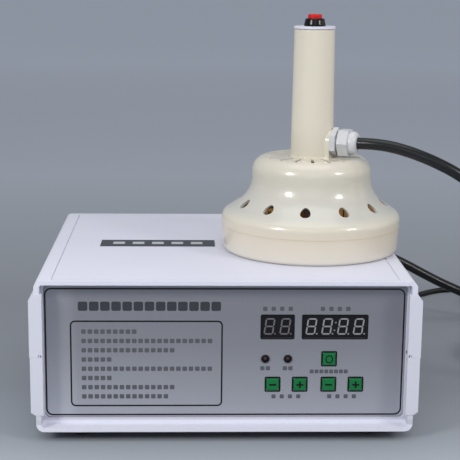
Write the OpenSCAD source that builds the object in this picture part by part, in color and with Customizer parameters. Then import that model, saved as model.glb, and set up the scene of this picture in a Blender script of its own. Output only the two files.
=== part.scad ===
// Induction cap sealer: a bench generator in a two-part plastic case, with a
// hand-held sealing head on a cable that rests on top of the case.
// Millimetres. X to the right, Y to the rear, Z up. The origin is on the table,
// under the middle of the case.

/* [Case] */
// Width of the case between its plain side walls
case_w = 302; // [290:1:330]
// Depth of the case from the front rim to the rear rim
case_d = 280; // [270:1:320]
// Height of both case halves together
case_h = 124; // [120:1:140]
// Height of the rubber feet
foot_h = 8; // [5:0.5:12]
// Radius of each foot where it meets the table
foot_r = 8; // [6:0.5:10]
// Wall of the case at its top and floor
wall = 3; // [2.6:0.1:4]
// Wall of the case at its sides
side_wall = 4.4; // [4:0.1:6]
// Outer corner radius of the upper half
top_corner_r = 5; // [4.5:0.5:7]
// Outer corner radius of the lower half
floor_corner_r = 6.5; // [4.5:0.5:8]
// How far the side bands stand out from the side walls
band_proud = 4.3; // [3:0.1:6]
// Distance from the case top to the upper end of a side band
band_end = 10; // [8:0.5:24]
// Height of the slope at that end
band_slope = 5.4; // [3:0.1:9]
// Distance from the floor to the lower end of a side band
band_foot_end = 14; // [10:0.5:24]
// Height of the slope at that end
band_foot_slope = 2.5; // [1:0.1:9]
// Step at the joint line, where the lower bands are narrower than the upper ones
band_step = 0.4; // [0.2:0.1:1]
// Width of the fine groove round the case top
groove_w = 0.8; // [0.5:0.1:1.5]
// Distance from the plain sides of the case to that groove
groove_inset = 13; // [10:0.5:20]
// Distance from the front and rear rims to that groove
groove_setback = 6; // [4:0.5:14]

/* [Top strip] */
// Width of the dark strip on the case top
strip_w = 101; // [60:1:120]
// Depth of that strip
strip_d = 25.5; // [15:0.5:40]
// Thickness of that strip
strip_t = 0.4; // [0.3:0.1:1]
// Middle of the strip, to the right of the case's middle
strip_x = -57.1; // [-70:0.1:-57]
// Middle of the strip, behind the case's middle
strip_y = 1.2; // [-60:0.1:60]

/* [Panels] */
// Depth of the recess from a rim to the rib that holds the panel
recess = 12; // [9:0.5:16]
// Thickness of the ribs on both sides of a panel
rib_t = 2; // [1.5:0.1:3]
// Height of those ribs on the side walls
rib_side = 1.6; // [1.2:0.1:2.4]
// Height of those ribs on the top
rib_height = 3.5; // [2.5:0.1:4.5]
// Height of those ribs on the floor
sill_height = 5; // [2.5:0.1:6]
// Thickness of the front and rear panels
panel_t = 3; // [2.5:0.1:4]
// Thickness of the printed front film
film_t = 0.4; // [0.3:0.1:0.8]

/* [Controls] */
// Middle of the first key in the lower row
key_x = 38.3; // [36:0.1:42]
// Distance between the two keys of a pair in the lower row
key_pitch = 22; // [20:0.1:23]
// Further distance between one pair and the next
key_pair_gap = 1.3; // [0:0.1:2]
// Height of the lower key row above the table
key_z = 43.5; // [40:0.5:48]
// Height of the upper row of lamps and the reset key
lamp_z = 65; // [63:0.1:70]
// Width and height of a key
key_size = 10.1; // [8:0.1:12]
// How far a key stands out from the film
key_proud = 1.6; // [1:0.1:2.4]
// Travel of a key
key_travel = 0.6; // [0.3:0.05:0.65]
// Middle of the first lamp
lamp_x = 32.1; // [30:0.1:36]
// Distance between the two lamps
lamp_pitch = 18.2; // [15:0.1:22]
// Radius of a lamp
lamp_r = 2.5; // [1.5:0.1:2.6]
// Middle of the two-digit display
display2_x = 41.6; // [40:0.1:43]
// Middle of the four-digit display
display4_x = 87.8; // [86:0.1:90]
// Height of the displays above the table
display_z = 91.6; // [90:0.1:98]
// Width of one digit in a display
digit_w = 12.55; // [11:0.05:13]
// Height of a display's face
display_h = 18; // [16:0.5:20]
// Depth of a display from its face to the board
display_depth = 8; // [7.5:0.1:10]

/* [Sealing head] */
// Head axis, to the right of the case's middle
head_x = 77.2; // [70:0.1:77.4]
// Head axis, behind the case's middle
head_y = -12.4; // [-40:0.1:40]
// Turn of the head about its axis, which is where its cable points
head_turn = -24.5; // [-90:0.5:90]
// Radius of the head at its rim
rim_r = 77.8; // [72:0.1:78]
// Radius of the neck between the bell and the deck
neck_r = 51.8; // [46:0.1:54]
// Height of the base cover
base_h = 22; // [18:0.5:24]
// Height of the straight rim above the base cover
rim_h = 6; // [3:0.5:8]
// Radius of the shoulder at the top of the rim
shoulder_r = 8; // [6:0.5:10]
// Radius of the hollow curve that joins the shoulder to the neck
flare_r = 27; // [22:0.5:29]
// Height of the deck that carries the handle
deck_z = 82; // [80:0.5:90]
// Radius of the edge round the deck
deck_r = 13; // [7:0.5:15]
// Wall of the bell and the handle
shell_t = 2.5; // [2:0.1:3]
// Number of vents round the flare
vent_count = 12; // [8:1:14]
// Width of a vent
vent_w = 8.6; // [6:0.1:10]
// Number of slots in the deck
slot_count = 18; // [10:1:20]

/* [Handle] */
// Radius of the handle where it meets the deck
handle_r = 18.7; // [18:0.1:21]
// Radius of the handle at its top
handle_top_r = 17.4; // [17:0.1:18]
// Height of the handle above the case top
handle_top = 191; // [170:1:220]
// Radius of the cap on the handle
cap_r = 17.8; // [17:0.1:20]
// Thickness of the cap above the handle
cap_t = 2; // [1.5:0.1:5]
// Radius of the red button
button_r = 6; // [5:0.1:6.4]
// Height of the button above its bezel
button_proud = 3.4; // [3:0.1:5]
// Travel of the button
button_travel = 2.5; // [1:0.1:2.8]

/* [Cables] */
// Width of a cable gland across its flats
gland_flats = 22; // [21:0.5:24]
// Height of the gland on the handle above the case top
gland_z = 95; // [95:0.5:110]
// Diameter of the head's cable
cable_d = 10; // [8:0.5:10]
// Diameter of the mains lead
mains_d = 6; // [5:0.5:7]

/* [Rear] */
// Middle of the fan, to the right of the case's middle
fan_x = -75; // [-85:1:-60]
// Width and height of the fan
fan_size = 80; // [70:1:84]
// Depth of the fan
fan_depth = 25; // [20:1:30]
// Middle of the cable's gland in the rear panel
rear_gland_x = 110; // [110:1:115]
// Height of that gland above the table
rear_gland_z = 95; // [95:1:100]
// Middle of the mains switch
switch_x = 20; // [0:1:30]
// Middle of the mains lead's grip
grip_x = 45; // [45:1:60]
// Height of that grip above the table
grip_z = 40; // [40:1:50]

/* [Hidden] */

$fn = 48;
// Gap between pieces that fit together and stay put
fit = 0.15;
// Gap round pieces that move
slip = 0.3;
// Overlap that makes a cut pass through a face
cut = 1;

half_h = case_h / 2;
part_z = foot_h + half_h;
case_top = foot_h + case_h;
floor_z = foot_h + wall;
inner_w = case_w - 2 * side_wall;
inner_h = case_h - 2 * wall;
lip_h = 2;
lip_t = 1.4;
groove_depth = 0.5;
band_end_proud = 0.5;
band_end_t = 4;
band_end_inset = 1.8;

// Places along the depth of the case, from the front rim to the inside
rib_y = -case_d / 2 + recess;
panel_y = rib_y + rib_t;
panel_back = panel_y + panel_t;
film_y = panel_y - film_t;
film_w = inner_w - 2 * rib_side - 2 * slip;
film_h = inner_h - rib_height - sill_height - 2 * slip;
film_z = floor_z + sill_height + slip + film_h / 2;
film_corner_r = floor_corner_r - wall + 1;
face_sink = 0.2;
board_y = film_y + face_sink + display_depth;
board_t = 1.6;
panel_slot = panel_t + fit;
panel_corner_r = floor_corner_r - wall + 1;

// Screw columns that hold the halves together, and the feet
column_inset_x = 22;
column_inset_y = 46;
column_x = case_w / 2 - column_inset_x;
column_y = case_d / 2 - column_inset_y;
column_r = 5;
column_bore = 1.55;
case_screw_r = 1.5;
case_screw_head_r = 2.8;
case_screw_head_h = 2.4;
column_floor = 6;
screw_well_r = 3.6;
case_screw_bite = 14;
foot_inset_x = 34;
foot_x = case_w / 2 - foot_inset_x;
foot_top_r = foot_r + 1.5;
foot_stem_r = 3;
foot_bulb_r = 4.4;
foot_bulb_h = 4;
foot_bulb_tip_r = 2.2;
foot_clearance = 1;
foot_y = -panel_y - panel_slot - rib_t - foot_bulb_r - foot_clearance;

// Slots in the floor that let cooling air in
floor_slots = 9;
floor_slot_w = 4;
floor_slot_l = 60;
floor_slot_pitch = 9;
floor_slot_x = 40;

// Keys, lamps, displays and the board behind them
function key_at(i) = key_x + i * key_pitch + floor(i / 2) * key_pair_gap;
reset_x = key_at(2);
key_r = 1.5;
key_bevel = 0.7;
key_flange = 1.4;
key_flange_t = 1.2;
switch_size = 6;
switch_h = 2;
plunger_r = 1.7;
plunger_gap = 0.2;
plunger_h = board_y - switch_h - panel_back - slip - key_flange_t - key_travel - plunger_gap;
display_gap = 0.25;
lamp_tip = 0.8;
lamp_flange = 0.4;
lamp_flange_h = 1;
clip_r = 3.45;
clip_t = 0.8;
clip_sleeve_r = 3.1;
board_margin_left = 16;
board_margin_right = 16.7;
board_margin_foot = 11;
board_margin_top = 16;
board_x0 = key_x - board_margin_left;
board_x1 = key_at(3) + board_margin_right;
board_z0 = key_z - board_margin_foot;
board_z1 = display_z + board_margin_top;
post_r = 3;
post_inset = 5;
board_screw_x = [board_x0 + post_inset, board_x1 - post_inset];
board_screw_z = [board_z0 + post_inset, board_z1 - post_inset];
screw_r = 1.2;
screw_head_r = 2.4;
screw_head_h = 1.6;
screw_bite = 4;
// Gap all round a screw or a lamp in its hole
screw_play = 0.1;

// Power board and what stands on it
power_x0 = -112;
power_x1 = 20;
power_y0 = -85;
power_y1 = 84;
power_screw_x = [power_x0 + post_inset, power_x1 - post_inset];
power_screw_y = [power_y0 + post_inset, power_y1 - post_inset];
power_post_h = 8;
power_z = floor_z + power_post_h;
power_top = power_z + board_t;
sink_x = -60;
sink_y0 = -50;
sink_l = 105;
sink_h = 52;
sink_base = 6;
fin_count = 8;
fin_l = 34;
fin_t = 1.8;
transistor_w = 16;
transistor_h = 21;
transistor_t = 5;
transistor_z = 16;
lead_w = 1.2;
lead_t = 0.6;
lead_pitch = 5.45;
parts_x = -20;
resonant_at = [parts_x, 40];
resonant_size = [42, 30, 38];
filter_size = [32, 14, 25];
filter_y = [8, -12];
choke_at = [parts_x, -52];
choke_r = 15;
choke_section = 6.5;
core_at = [-85, -66];
core_size = [36, 16, 30];
bobbin_proud = 7;
block_edge = 1.2;

// Rear panel and its fittings
rear_y = -panel_y;
rear_inner = rear_y - panel_t;
fan_z = part_z;
fan_flange_t = 4;
fan_hole_pitch = fan_size - 8.5;
fan_hole_r = 2.15;
fan_duct_r = fan_size / 2 - 2;
fan_duct_t = 1.5;
fan_corner_r = 4;
fan_hub_r = 16;
fan_shaft_r = 1.5;
fan_play = 0.05;
fan_arm_w = 4;
fan_arm_turn = 20;
rotor_setback = 3;
rotor_floor = 3;
rotor_bell_floor = 6;
rotor_wall = 2;
rotor_sleeve_t = 3;
blade_gap = 1.2;
blade_count = 7;
blade_t = 1.4;
blade_pitch = 38;
guard_t = 2.5;
guard_rings = 5;
guard_bar = 2.2;
fan_screw_r = 2;
fan_screw_head_r = 3.6;
fan_screw_head_h = 2.4;
fan_screw_l = 12;
switch_z = 95;
switch_bezel_w = 18;
switch_bezel_h = 24;
switch_bezel_t = 2;
switch_corner_r = 1;
switch_body_w = 15.6;
switch_body_h = 21.6;
switch_body_d = 18;
rocker_w = 10.4;
rocker_r = 9.5;
rocker_tilt = 7;
rocker_pivot_y = rear_y - 3;
rocker_pin_r = 1.2;
rocker_pin_l = 1.6;
rocker_proud = 2;
rocker_dip = 1.2;
grip_hole_r = 5;
grip_base_r = 7;
grip_l = 36;
grip_tip_r = mains_d / 2 + 1;
grip_inner_l = 6;
grip_ridge_r = 6.2;
grip_collar_l = 4;

// Head profile
neck_l = 5;
head_flare_n = [cos(flare_normal()), sin(flare_normal())];
shoulder_c = [rim_r - shoulder_r, base_h + rim_h];
flare_c = [neck_r + flare_r, deck_z - deck_r - neck_l];
base_draft = 1.4;
base_corner_r = 3.5;
base_floor = 2.5;
base_lip_h = 4;
base_lip_t = 2;
vent_l = 10.4;
vent_r = rim_r - 15.8;
vent_z = 42;
vent_tilt = 30;
slot_w = 2.6;
slot_r0 = 23;
slot_r1 = 42;
vent_steps = 28;
vent_taper = 0.22;
vent_reach = 10;

// Posts and screws of the base cover
base_post_inset = 8.5;
base_screw_pcd_r = rim_r - base_post_inset;
base_screw_count = 4;
base_screw_r = 1.5;
base_screw_head_r = 2.9;
base_screw_head_h = 1.7;
base_post_r = 3.6;
post_top = base_h + base_lip_h;
screw_grip = 5;
base_screw_l = post_top + screw_grip - base_screw_head_h - fit;

// Coil in the head, inside the posts
former_clearance = 1.7;
former_r = base_screw_pcd_r - base_post_r - former_clearance;
former_t = 2;
former_plate_t = 3;
former_hub_r = 15;
former_bore_r = 8;
// Overlap that bonds each turn of the coil to the next
litz_bond = 0.02;
coil_z = base_floor + former_t + litz_bond;
coil_rows = 4;
litz_d = 4.8;
coil_h = coil_rows * litz_d + litz_bond;
coil_r0 = former_hub_r + fit;
coil_margin = 2;
coil_columns = floor((former_r - coil_r0 - coil_margin) / litz_d);
plate_z = coil_z + coil_h + fit;
bar_count = 8;
bar_w = 10;
bar_r0 = 17;
bar_inset = 8;
bar_r1 = former_r - bar_inset;
bar_h = 13;

// Handle and trigger
handle_t = 2.6;
handle_edge_r = 1.5;
boss_r = gland_flats / 2;
boss_reach = 19;
cap_spigot_h = 6;
cap_gap = 0.3;
cap_edge = 0.3;
bezel_r = 9.2;
bezel_top_r = 8.5;
bezel_edge = 1.8;
bezel_h = 6.6;
bezel_rim_h = 1.6;
thread_r = 7;
thread_l = 24;
button_h = 9;
button_edge = 1.2;
button_stop = 0.5;
nut_flats = 20;
nut_t = 3;
bezel_z = handle_top + cap_gap + cap_t;
bezel_top = bezel_z + bezel_h;

// Glands
gland_thread_r = 9.3;
gland_flange_t = 5;
gland_neck_l = 8;
gland_neck_r = 8.6;
gland_gap = 1.6;
gland_nut_l = 9;
gland_dome_l = 7;
gland_dome_r = 10;
gland_dome_edge = 4.5;
gland_rim_l = 1;
gland_bore = cable_d / 2 + 0.2;
gland_seal_r = 7.4;
gland_play = 0.1;
locknut_t = 4;
locknut_r = gland_flats / 2 + 1;
gland_tip = gland_flange_t + gland_gap + gland_nut_l + gland_dome_l;
gland_thread_l = 12;
head_thread_l = 9;

// Free run of the head's cable from the handle, over the right side and down to its coil
cable_out_route = [[127, -35, 227], [140, -39, 226], [152, -43, 223], [166, -46, 219], [182, -48, 212],
    [198, -49, 204], [212, -49, 194], [225, -48, 182], [237, -47, 168], [247, -45, 152], [256, -43, 134],
    [264, -40, 115], [271, -37, 95], [279, -33, 75], [288, -28, 55], [298, -19, 37], [310, -8, 22],
    [322, 3, 11], [335, 15, 6], [347, 25, 5]];
// Free run from the coil, behind the case and up to the gland in the rear panel
cable_back_route = [[369, 70, 26], [369, 90, 25], [369, 110, 18], [368, 130, 9], [363, 150, 5],
    [353, 169, 5], [340, 185, 6], [324, 198, 9], [306, 208, 15], [287, 215, 23], [266, 220, 32],
    [245, 220, 41], [226, 220, 51], [207, 220, 61], [187, 218, 71], [168, 214, 79], [150, 206, 86],
    [135, 195, 91], [122, 181, 94], [113, 165, 95]];
cable_coil_at = [312, 70];
cable_coil_r = 57;
cable_coil_h = 31;
// Free run of the mains lead from its grip, over the table behind the case and into its coil
mains_route = [[45, 176, 39], [47, 191, 34], [51, 205, 26], [58, 219, 17], [67, 232, 9], [79, 244, 4],
    [94, 254, 3], [111, 262, 3], [129, 269, 3], [148, 275, 3], [167, 281, 3], [186, 287, 3], [205, 294, 3],
    [224, 304, 3], [241, 317, 3], [256, 330, 3], [271, 338, 3], [287, 340, 3], [303, 338, 3], [319, 334, 3],
    [334, 330, 3], [349, 324, 3], [363, 314, 3]];
mains_coil_at = [335, 285];
mains_coil_r = 34.5;
mains_coil_columns = 3;
mains_coil_rows = 2;
mains_tail_route = [[375, 285, 9], [376, 272, 9], [376, 258, 9]];
plug_at = [376, 258, 9];
plug_l = 42;
plug_w = 30;
plug_h = 18;
plug_grip_l = 16;
plug_grip_t = 1;
plug_grip_base_t = 3;
plug_corner_r = 5;
pin_l = 18;
pin_w = 6.4;
pin_t = 1.5;
pin_spread = 7.9;
pin_turn = 30;
pin_rise = 2;
earth_drop = 4;
cord_sides = 10;

// Turn of the line that touches both the shoulder and the flare
function flare_normal() =
    let (step = [neck_r + flare_r - rim_r + shoulder_r, deck_z - deck_r - neck_l - base_h - rim_h])
    atan2(step[1], step[0]) - acos((shoulder_r + flare_r) / norm(step));

// Points of a vent, wide below and pointed above
function vent_points() = [for (i = [0:vent_steps - 1])
    let (a = 360 * i / vent_steps)
    [vent_w / 2 * sin(a) * (1 - vent_taper * cos(a)), vent_l / 2 * cos(a)]];

function unit(v) = v / norm(v);
function tangent(route, i) = unit(route[min(i + 1, len(route) - 1)] - route[max(i - 1, 0)]);
// One ring of points round a point of a cord's route
function cord_ring(route, i, r) =
    let (t = tangent(route, i), side = unit(cross(t, [0, 0, 1])), up = cross(side, t))
    [for (k = [0:cord_sides - 1]) route[i] + r * (cos(360 * k / cord_sides) * side
        + sin(360 * k / cord_sides) * up)];

// Round cord along a route
module cord(route, r) {
    last = len(route) - 1;
    points = [for (i = [0:last]) each cord_ring(route, i, r)];
    sides = [for (i = [0:last - 1]) for (k = [0:cord_sides - 1])
        let (a = i * cord_sides + k, b = i * cord_sides + (k + 1) % cord_sides)
        [a, a + cord_sides, b + cord_sides, b]];
    ends = [[for (k = [0:cord_sides - 1]) k],
        [for (k = [cord_sides - 1:-1:0]) last * cord_sides + k]];
    polyhedron(points = points, faces = concat(sides, ends));
}

// Flat outline with rounded corners about the origin
module rounded(w, h, r) {
    square([w - 2 * r, h], center = true);
    square([w, h - 2 * r], center = true);
    for (x = [-1, 1], y = [-1, 1])
        translate([x * (w / 2 - r), y * (h / 2 - r)])
            circle(r);
}

// Stands a flat outline up to face the front, with its front at y and its depth towards the rear
module facing(y, depth) {
    translate([0, y + depth, 0])
        rotate([90, 0, 0])
            linear_extrude(depth)
                children();
}

// Hexagon across its flats, with a flat on each side
module hexagon(flats) {
    circle(r = flats / sqrt(3), $fn = 6);
}

// Section of one case half above the joint line, with rounded upper corners
module half_section(w, h, r) {
    translate([-w / 2, 0])
        square([w, h - r]);
    translate([r - w / 2, 0])
        square([w - 2 * r, h]);
    for (x = [-1, 1])
        translate([x * (w / 2 - r), h - r])
            circle(r);
}

// Side bands of one case half
module band_section(inside, proud, end, slope) {
    out = case_w / 2 + proud;
    top = half_h - end;
    for (x = [0, 1])
        mirror([x, 0])
            polygon([[inside, 0], [out, 0], [out, top - slope], [case_w / 2, top], [inside, top]]);
}

// Hollow behind the side bands, which keeps their wall even
module band_hollow(end, slope) {
    top = half_h - end - slope - wall;
    for (x = [0, 1])
        mirror([x, 0])
            translate([inner_w / 2 - cut, lip_h + wall])
                square([side_wall + band_proud - band_step - wall + cut, top - lip_h - wall]);
}

// One case half as a channel, open at the front and rear
module half_shell(corner_r, rib_h, proud, end, slope) {
    difference() {
        facing(-case_d / 2, case_d)
            union() {
                half_section(case_w, half_h, corner_r);
                band_section(inner_w / 2, proud, end, slope);
            }
        facing(-case_d / 2 - cut, case_d + 2 * cut)
            translate([0, -cut])
                half_section(inner_w, half_h - wall + cut, corner_r - wall);
        facing(panel_back + 2 * rib_t, -2 * (panel_back + 2 * rib_t))
            band_hollow(end, slope);
    }
    // Ends of the bands, which stand out from the front and rear rims
    for (y = [-case_d / 2 - band_end_proud, case_d / 2 + band_end_proud - band_end_t])
        facing(y, band_end_t)
            band_section(inner_w / 2 - band_end_inset, proud, end, slope);
    for (y = [rib_y, panel_y + panel_slot, -panel_y - panel_slot - rib_t, -rib_y - rib_t])
        facing(y, rib_t)
            difference() {
                half_section(inner_w + side_wall, half_h - wall / 2, corner_r - wall / 2);
                translate([0, -cut])
                    half_section(inner_w - 2 * rib_side, half_h - wall - rib_h + cut, corner_r - wall);
            }
}

// Four mirrored places about the middle of the case
module four(x, y) {
    for (sx = [-1, 1], sy = [-1, 1])
        translate([sx * x, sy * y, 0])
            children();
}

module upper_shell() {
    color("#D9DBE9")
        difference() {
            union() {
                translate([0, 0, part_z])
                    half_shell(top_corner_r, rib_height, band_proud, band_end, band_slope);
                four(column_x, column_y)
                    translate([0, 0, part_z])
                        cylinder(r = column_r, h = half_h - wall / 2);
            }
            // Rebate that takes the lip of the lower half
            for (x = [0, 1])
                mirror([x, 0, 0])
                    translate([inner_w / 2 - cut, -case_d / 2 - cut, part_z - cut])
                        cube([lip_t + fit + cut, case_d + 2 * cut, lip_h + fit + cut]);
            four(column_x, column_y)
                translate([0, 0, part_z - cut])
                    cylinder(r = column_bore, h = case_screw_bite + 2 * cut);
            translate([0, 0, case_top - groove_depth])
                linear_extrude(groove_depth + cut)
                    difference() {
                        square([case_w - 2 * groove_inset, case_d - 2 * groove_setback], center = true);
                        square([case_w - 2 * (groove_inset + groove_w),
                            case_d - 2 * (groove_setback + groove_w)], center = true);
                    }
        }
}

module lower_shell() {
    color("#D2D4E2")
        difference() {
            union() {
                translate([0, 0, part_z])
                    mirror([0, 0, 1])
                        half_shell(floor_corner_r, sill_height, band_proud - band_step, band_foot_end,
                            band_foot_slope);
                for (x = [0, 1])
                    mirror([x, 0, 0])
                        translate([inner_w / 2, -case_d / 2, part_z - wall])
                            cube([lip_t, case_d, lip_h + wall]);
                four(column_x, column_y)
                    translate([0, 0, foot_h + wall / 2])
                        cylinder(r = column_r, h = half_h - wall / 2);
                power_posts(power_post_h + wall / 2, floor_z - wall / 2, post_r);
            }
            four(column_x, column_y) {
                translate([0, 0, foot_h - cut])
                    cylinder(r = column_bore, h = half_h + 2 * cut);
                translate([0, 0, foot_h - cut])
                    cylinder(r = screw_well_r, h = half_h - column_floor + cut);
            }
            four(foot_x, foot_y)
                translate([0, 0, foot_h - cut])
                    cylinder(r = foot_stem_r + fit, h = wall + 2 * cut);
            power_posts(power_post_h + cut, floor_z, screw_r + screw_play);
            for (i = [0:floor_slots - 1])
                translate([floor_slot_x + i * floor_slot_pitch - floor_slot_w / 2,
                    -floor_slot_l / 2, foot_h - cut])
                    cube([floor_slot_w, floor_slot_l, wall + 2 * cut]);
        }
}

// Posts, or holes, at the corners of the power board
module power_posts(h, z, r) {
    for (x = power_screw_x, y = power_screw_y)
        translate([x, y, z])
            cylinder(r = r, h = h);
}

// Outline that fits between the case walls
module panel_outline() {
    translate([0, part_z])
        rounded(inner_w - 2 * fit, inner_h - 2 * fit, panel_corner_r);
}

// Holes that the controls need in the panel and the film
module control_holes() {
    translate([display2_x, display_z])
        square([2 * digit_w + 2 * display_gap, display_h + 2 * display_gap], center = true);
    translate([display4_x, display_z])
        square([4 * digit_w + 2 * display_gap, display_h + 2 * display_gap], center = true);
    for (i = [0, 1])
        translate([lamp_x + i * lamp_pitch, lamp_z])
            circle(clip_sleeve_r + fit);
    for (i = [0:3])
        translate([key_at(i), key_z])
            rounded(key_size + 2 * slip, key_size + 2 * slip, key_r + slip);
    translate([reset_x, lamp_z])
        rounded(key_size + 2 * slip, key_size + 2 * slip, key_r + slip);
}

// Corner places of the control board's screws
module board_corners(y) {
    for (x = board_screw_x, z = board_screw_z)
        translate([x, y, z])
            rotate([-90, 0, 0])
                children();
}

module front_panel() {
    color("#8E919B")
        difference() {
            union() {
                facing(panel_y, panel_t)
                    difference() {
                        panel_outline();
                        control_holes();
                    }
                board_corners(panel_back - panel_t / 2)
                    cylinder(r = post_r, h = board_y - panel_back + panel_t / 2);
            }
            board_corners(panel_back)
                cylinder(r = screw_r + screw_play, h = board_y - panel_back + cut);
        }
}

module front_film() {
    color("#858994")
        facing(film_y, film_t)
            difference() {
                translate([0, film_z])
                    rounded(film_w, film_h, film_corner_r);
                control_holes();
            }
}

// Housing of a display with a number of digits
module display(x, digits) {
    color("#2A2B30")
        facing(film_y + face_sink, display_depth)
            translate([x, display_z])
                square([digits * digit_w, display_h], center = true);
}

module two_digit_display() {
    display(display2_x, 2);
}

module four_digit_display() {
    display(display4_x, 4);
}

// Round lamp that stands on the control board and ends in a dome
module lamp(x) {
    tip = film_y - lamp_tip;
    color("#5A1F1F")
        translate([x, board_y, lamp_z])
            rotate([90, 0, 0])
                rotate_extrude()
                    union() {
                        square([lamp_r + lamp_flange, lamp_flange_h]);
                        square([lamp_r, board_y - tip - lamp_r]);
                        intersection() {
                            translate([0, board_y - tip - lamp_r])
                                circle(lamp_r);
                            square([lamp_r + cut, board_y - tip + cut]);
                        }
                    }
}

module power_lamp() {
    lamp(lamp_x);
}

module work_lamp() {
    lamp(lamp_x + lamp_pitch);
}

module lamp_clips() {
    color("#17181B")
        for (i = [0, 1])
            translate([lamp_x + i * lamp_pitch, film_y - clip_t, lamp_z])
                rotate([-90, 0, 0])
                    difference() {
                        union() {
                            cylinder(r = clip_r, h = clip_t);
                            cylinder(r = clip_sleeve_r, h = clip_t + film_t + panel_t);
                        }
                        translate([0, 0, -cut])
                            cylinder(r = lamp_r + screw_play, h = clip_t + film_t + panel_t + 2 * cut);
                    }
}

// Square key with a bevelled face, and a flange that keeps it behind the panel
module key(x, z) {
    front = film_y - key_proud;
    flange_y = panel_back + slip;
    half = key_size / 2;
    color("#137F46")
        translate([x, 0, z]) {
            intersection() {
                facing(front, flange_y - front + key_flange_t)
                    rounded(key_size, key_size, key_r);
                translate([-half - cut, 0, 0])
                    rotate([90, 0, 90])
                        linear_extrude(key_size + 2 * cut)
                            key_profile(front, flange_y + key_flange_t, half);
                translate([0, 0, -half - cut])
                    linear_extrude(key_size + 2 * cut)
                        mirror([1, 0])
                            rotate(90)
                                key_profile(front, flange_y + key_flange_t, half);
            }
            facing(flange_y, key_flange_t)
                square(key_size + 2 * key_flange, center = true);
        }
}

// Side outline of a key, from its bevelled front to its flange
module key_profile(front, back, half) {
    polygon([[front, key_bevel - half], [front + key_bevel, -half], [back, -half],
        [back, half], [front + key_bevel, half], [front, half - key_bevel]]);
}

module key_reset() {
    key(reset_x, lamp_z);
}

module key_time_minus() {
    key(key_at(0), key_z);
}

module key_time_plus() {
    key(key_at(1), key_z);
}

module key_power_minus() {
    key(key_at(2), key_z);
}

module key_power_plus() {
    key(key_at(3), key_z);
}

module control_board() {
    color("#1E6B3A")
        difference() {
            translate([board_x0, board_y, board_z0])
                cube([board_x1 - board_x0, board_t, board_z1 - board_z0]);
            board_corners(board_y - cut)
                cylinder(r = screw_r + screw_play, h = board_t + 2 * cut);
        }
}

// One push switch on the control board, behind a key
module key_switch(x, z) {
    translate([x, board_y - switch_h, z]) {
        translate([-switch_size / 2, 0, -switch_size / 2])
            cube([switch_size, switch_h, switch_size]);
        rotate([90, 0, 0])
            cylinder(r = plunger_r, h = plunger_h);
    }
}

module key_switches() {
    color("#202124") {
        for (i = [0:3])
            key_switch(key_at(i), key_z);
        key_switch(reset_x, lamp_z);
    }
}

// Pan-head screw that points down its own Z axis from its seat
module pan_screw(r, bite, head_r, head_h) {
    cylinder(r = head_r, h = head_h);
    translate([0, 0, -bite])
        cylinder(r = r, h = bite + head_h / 2);
}

module board_screws() {
    color("#B9BCC2") {
        board_corners(board_y + board_t)
            pan_screw(screw_r, board_t + screw_bite - fit, screw_head_r, screw_head_h);
        for (x = power_screw_x, y = power_screw_y)
            translate([x, y, power_top])
                pan_screw(screw_r, board_t + screw_bite, screw_head_r, screw_head_h);
    }
}

module case_screws() {
    color("#B9BCC2")
        four(column_x, column_y)
            translate([0, 0, part_z - column_floor])
                mirror([0, 0, 1])
                    pan_screw(case_screw_r, column_floor + case_screw_bite, case_screw_head_r,
                        case_screw_head_h);
}

module feet() {
    color("#1B1B1D")
        four(foot_x, foot_y)
            rotate_extrude()
                polygon([[0, 0], [foot_r, 0], [foot_top_r, foot_h], [foot_stem_r, foot_h],
                    [foot_stem_r, floor_z], [foot_bulb_r, floor_z],
                    [foot_bulb_tip_r, floor_z + foot_bulb_h], [0, floor_z + foot_bulb_h]]);
}

module top_strip() {
    color("#4A4E58")
        translate([strip_x - strip_w / 2, strip_y - strip_d / 2, case_top])
            cube([strip_w, strip_d, strip_t]);
}

module rear_panel() {
    color("#C9CBD6")
        facing(rear_inner, panel_t)
            difference() {
                panel_outline();
                translate([fan_x, fan_z]) {
                    circle(fan_duct_r);
                    fan_corners()
                        circle(fan_hole_r);
                }
                translate([switch_x, switch_z])
                    square([switch_body_w + 2 * fit, switch_body_h + 2 * fit], center = true);
                translate([rear_gland_x, rear_gland_z])
                    circle(gland_thread_r + fit);
                translate([grip_x, grip_z])
                    circle(grip_hole_r + fit);
            }
}

// Corner places of the fan's screws
module fan_corners() {
    for (x = [-1, 1], z = [-1, 1])
        translate([x * fan_hole_pitch / 2, z * fan_hole_pitch / 2])
            children();
}

// Square fan outline with a round opening and screw holes
module fan_outline() {
    difference() {
        rounded(fan_size, fan_size, fan_corner_r);
        circle(fan_duct_r);
        fan_corners()
            circle(fan_hole_r);
    }
}

module fan_frame() {
    front = rear_inner - fan_depth;
    color("#1F2023")
        translate([fan_x, 0, fan_z]) {
            for (y = [front, rear_inner - fan_flange_t])
                facing(y, fan_flange_t)
                    fan_outline();
            facing(front, fan_depth)
                difference() {
                    circle(fan_duct_r + fan_duct_t);
                    circle(fan_duct_r);
                }
            // Motor plate on four arms, with the shaft that carries the rotor
            facing(front, fan_flange_t)
                union() {
                    circle(fan_hub_r - rotor_wall / 2);
                    for (a = [0:90:270])
                        rotate(a + fan_arm_turn)
                            translate([0, -fan_arm_w / 2])
                                square([fan_duct_r + fan_duct_t / 2, fan_arm_w]);
                }
            facing(front, fan_depth - rotor_setback - rotor_floor - slip)
                circle(fan_shaft_r);
        }
}

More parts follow.
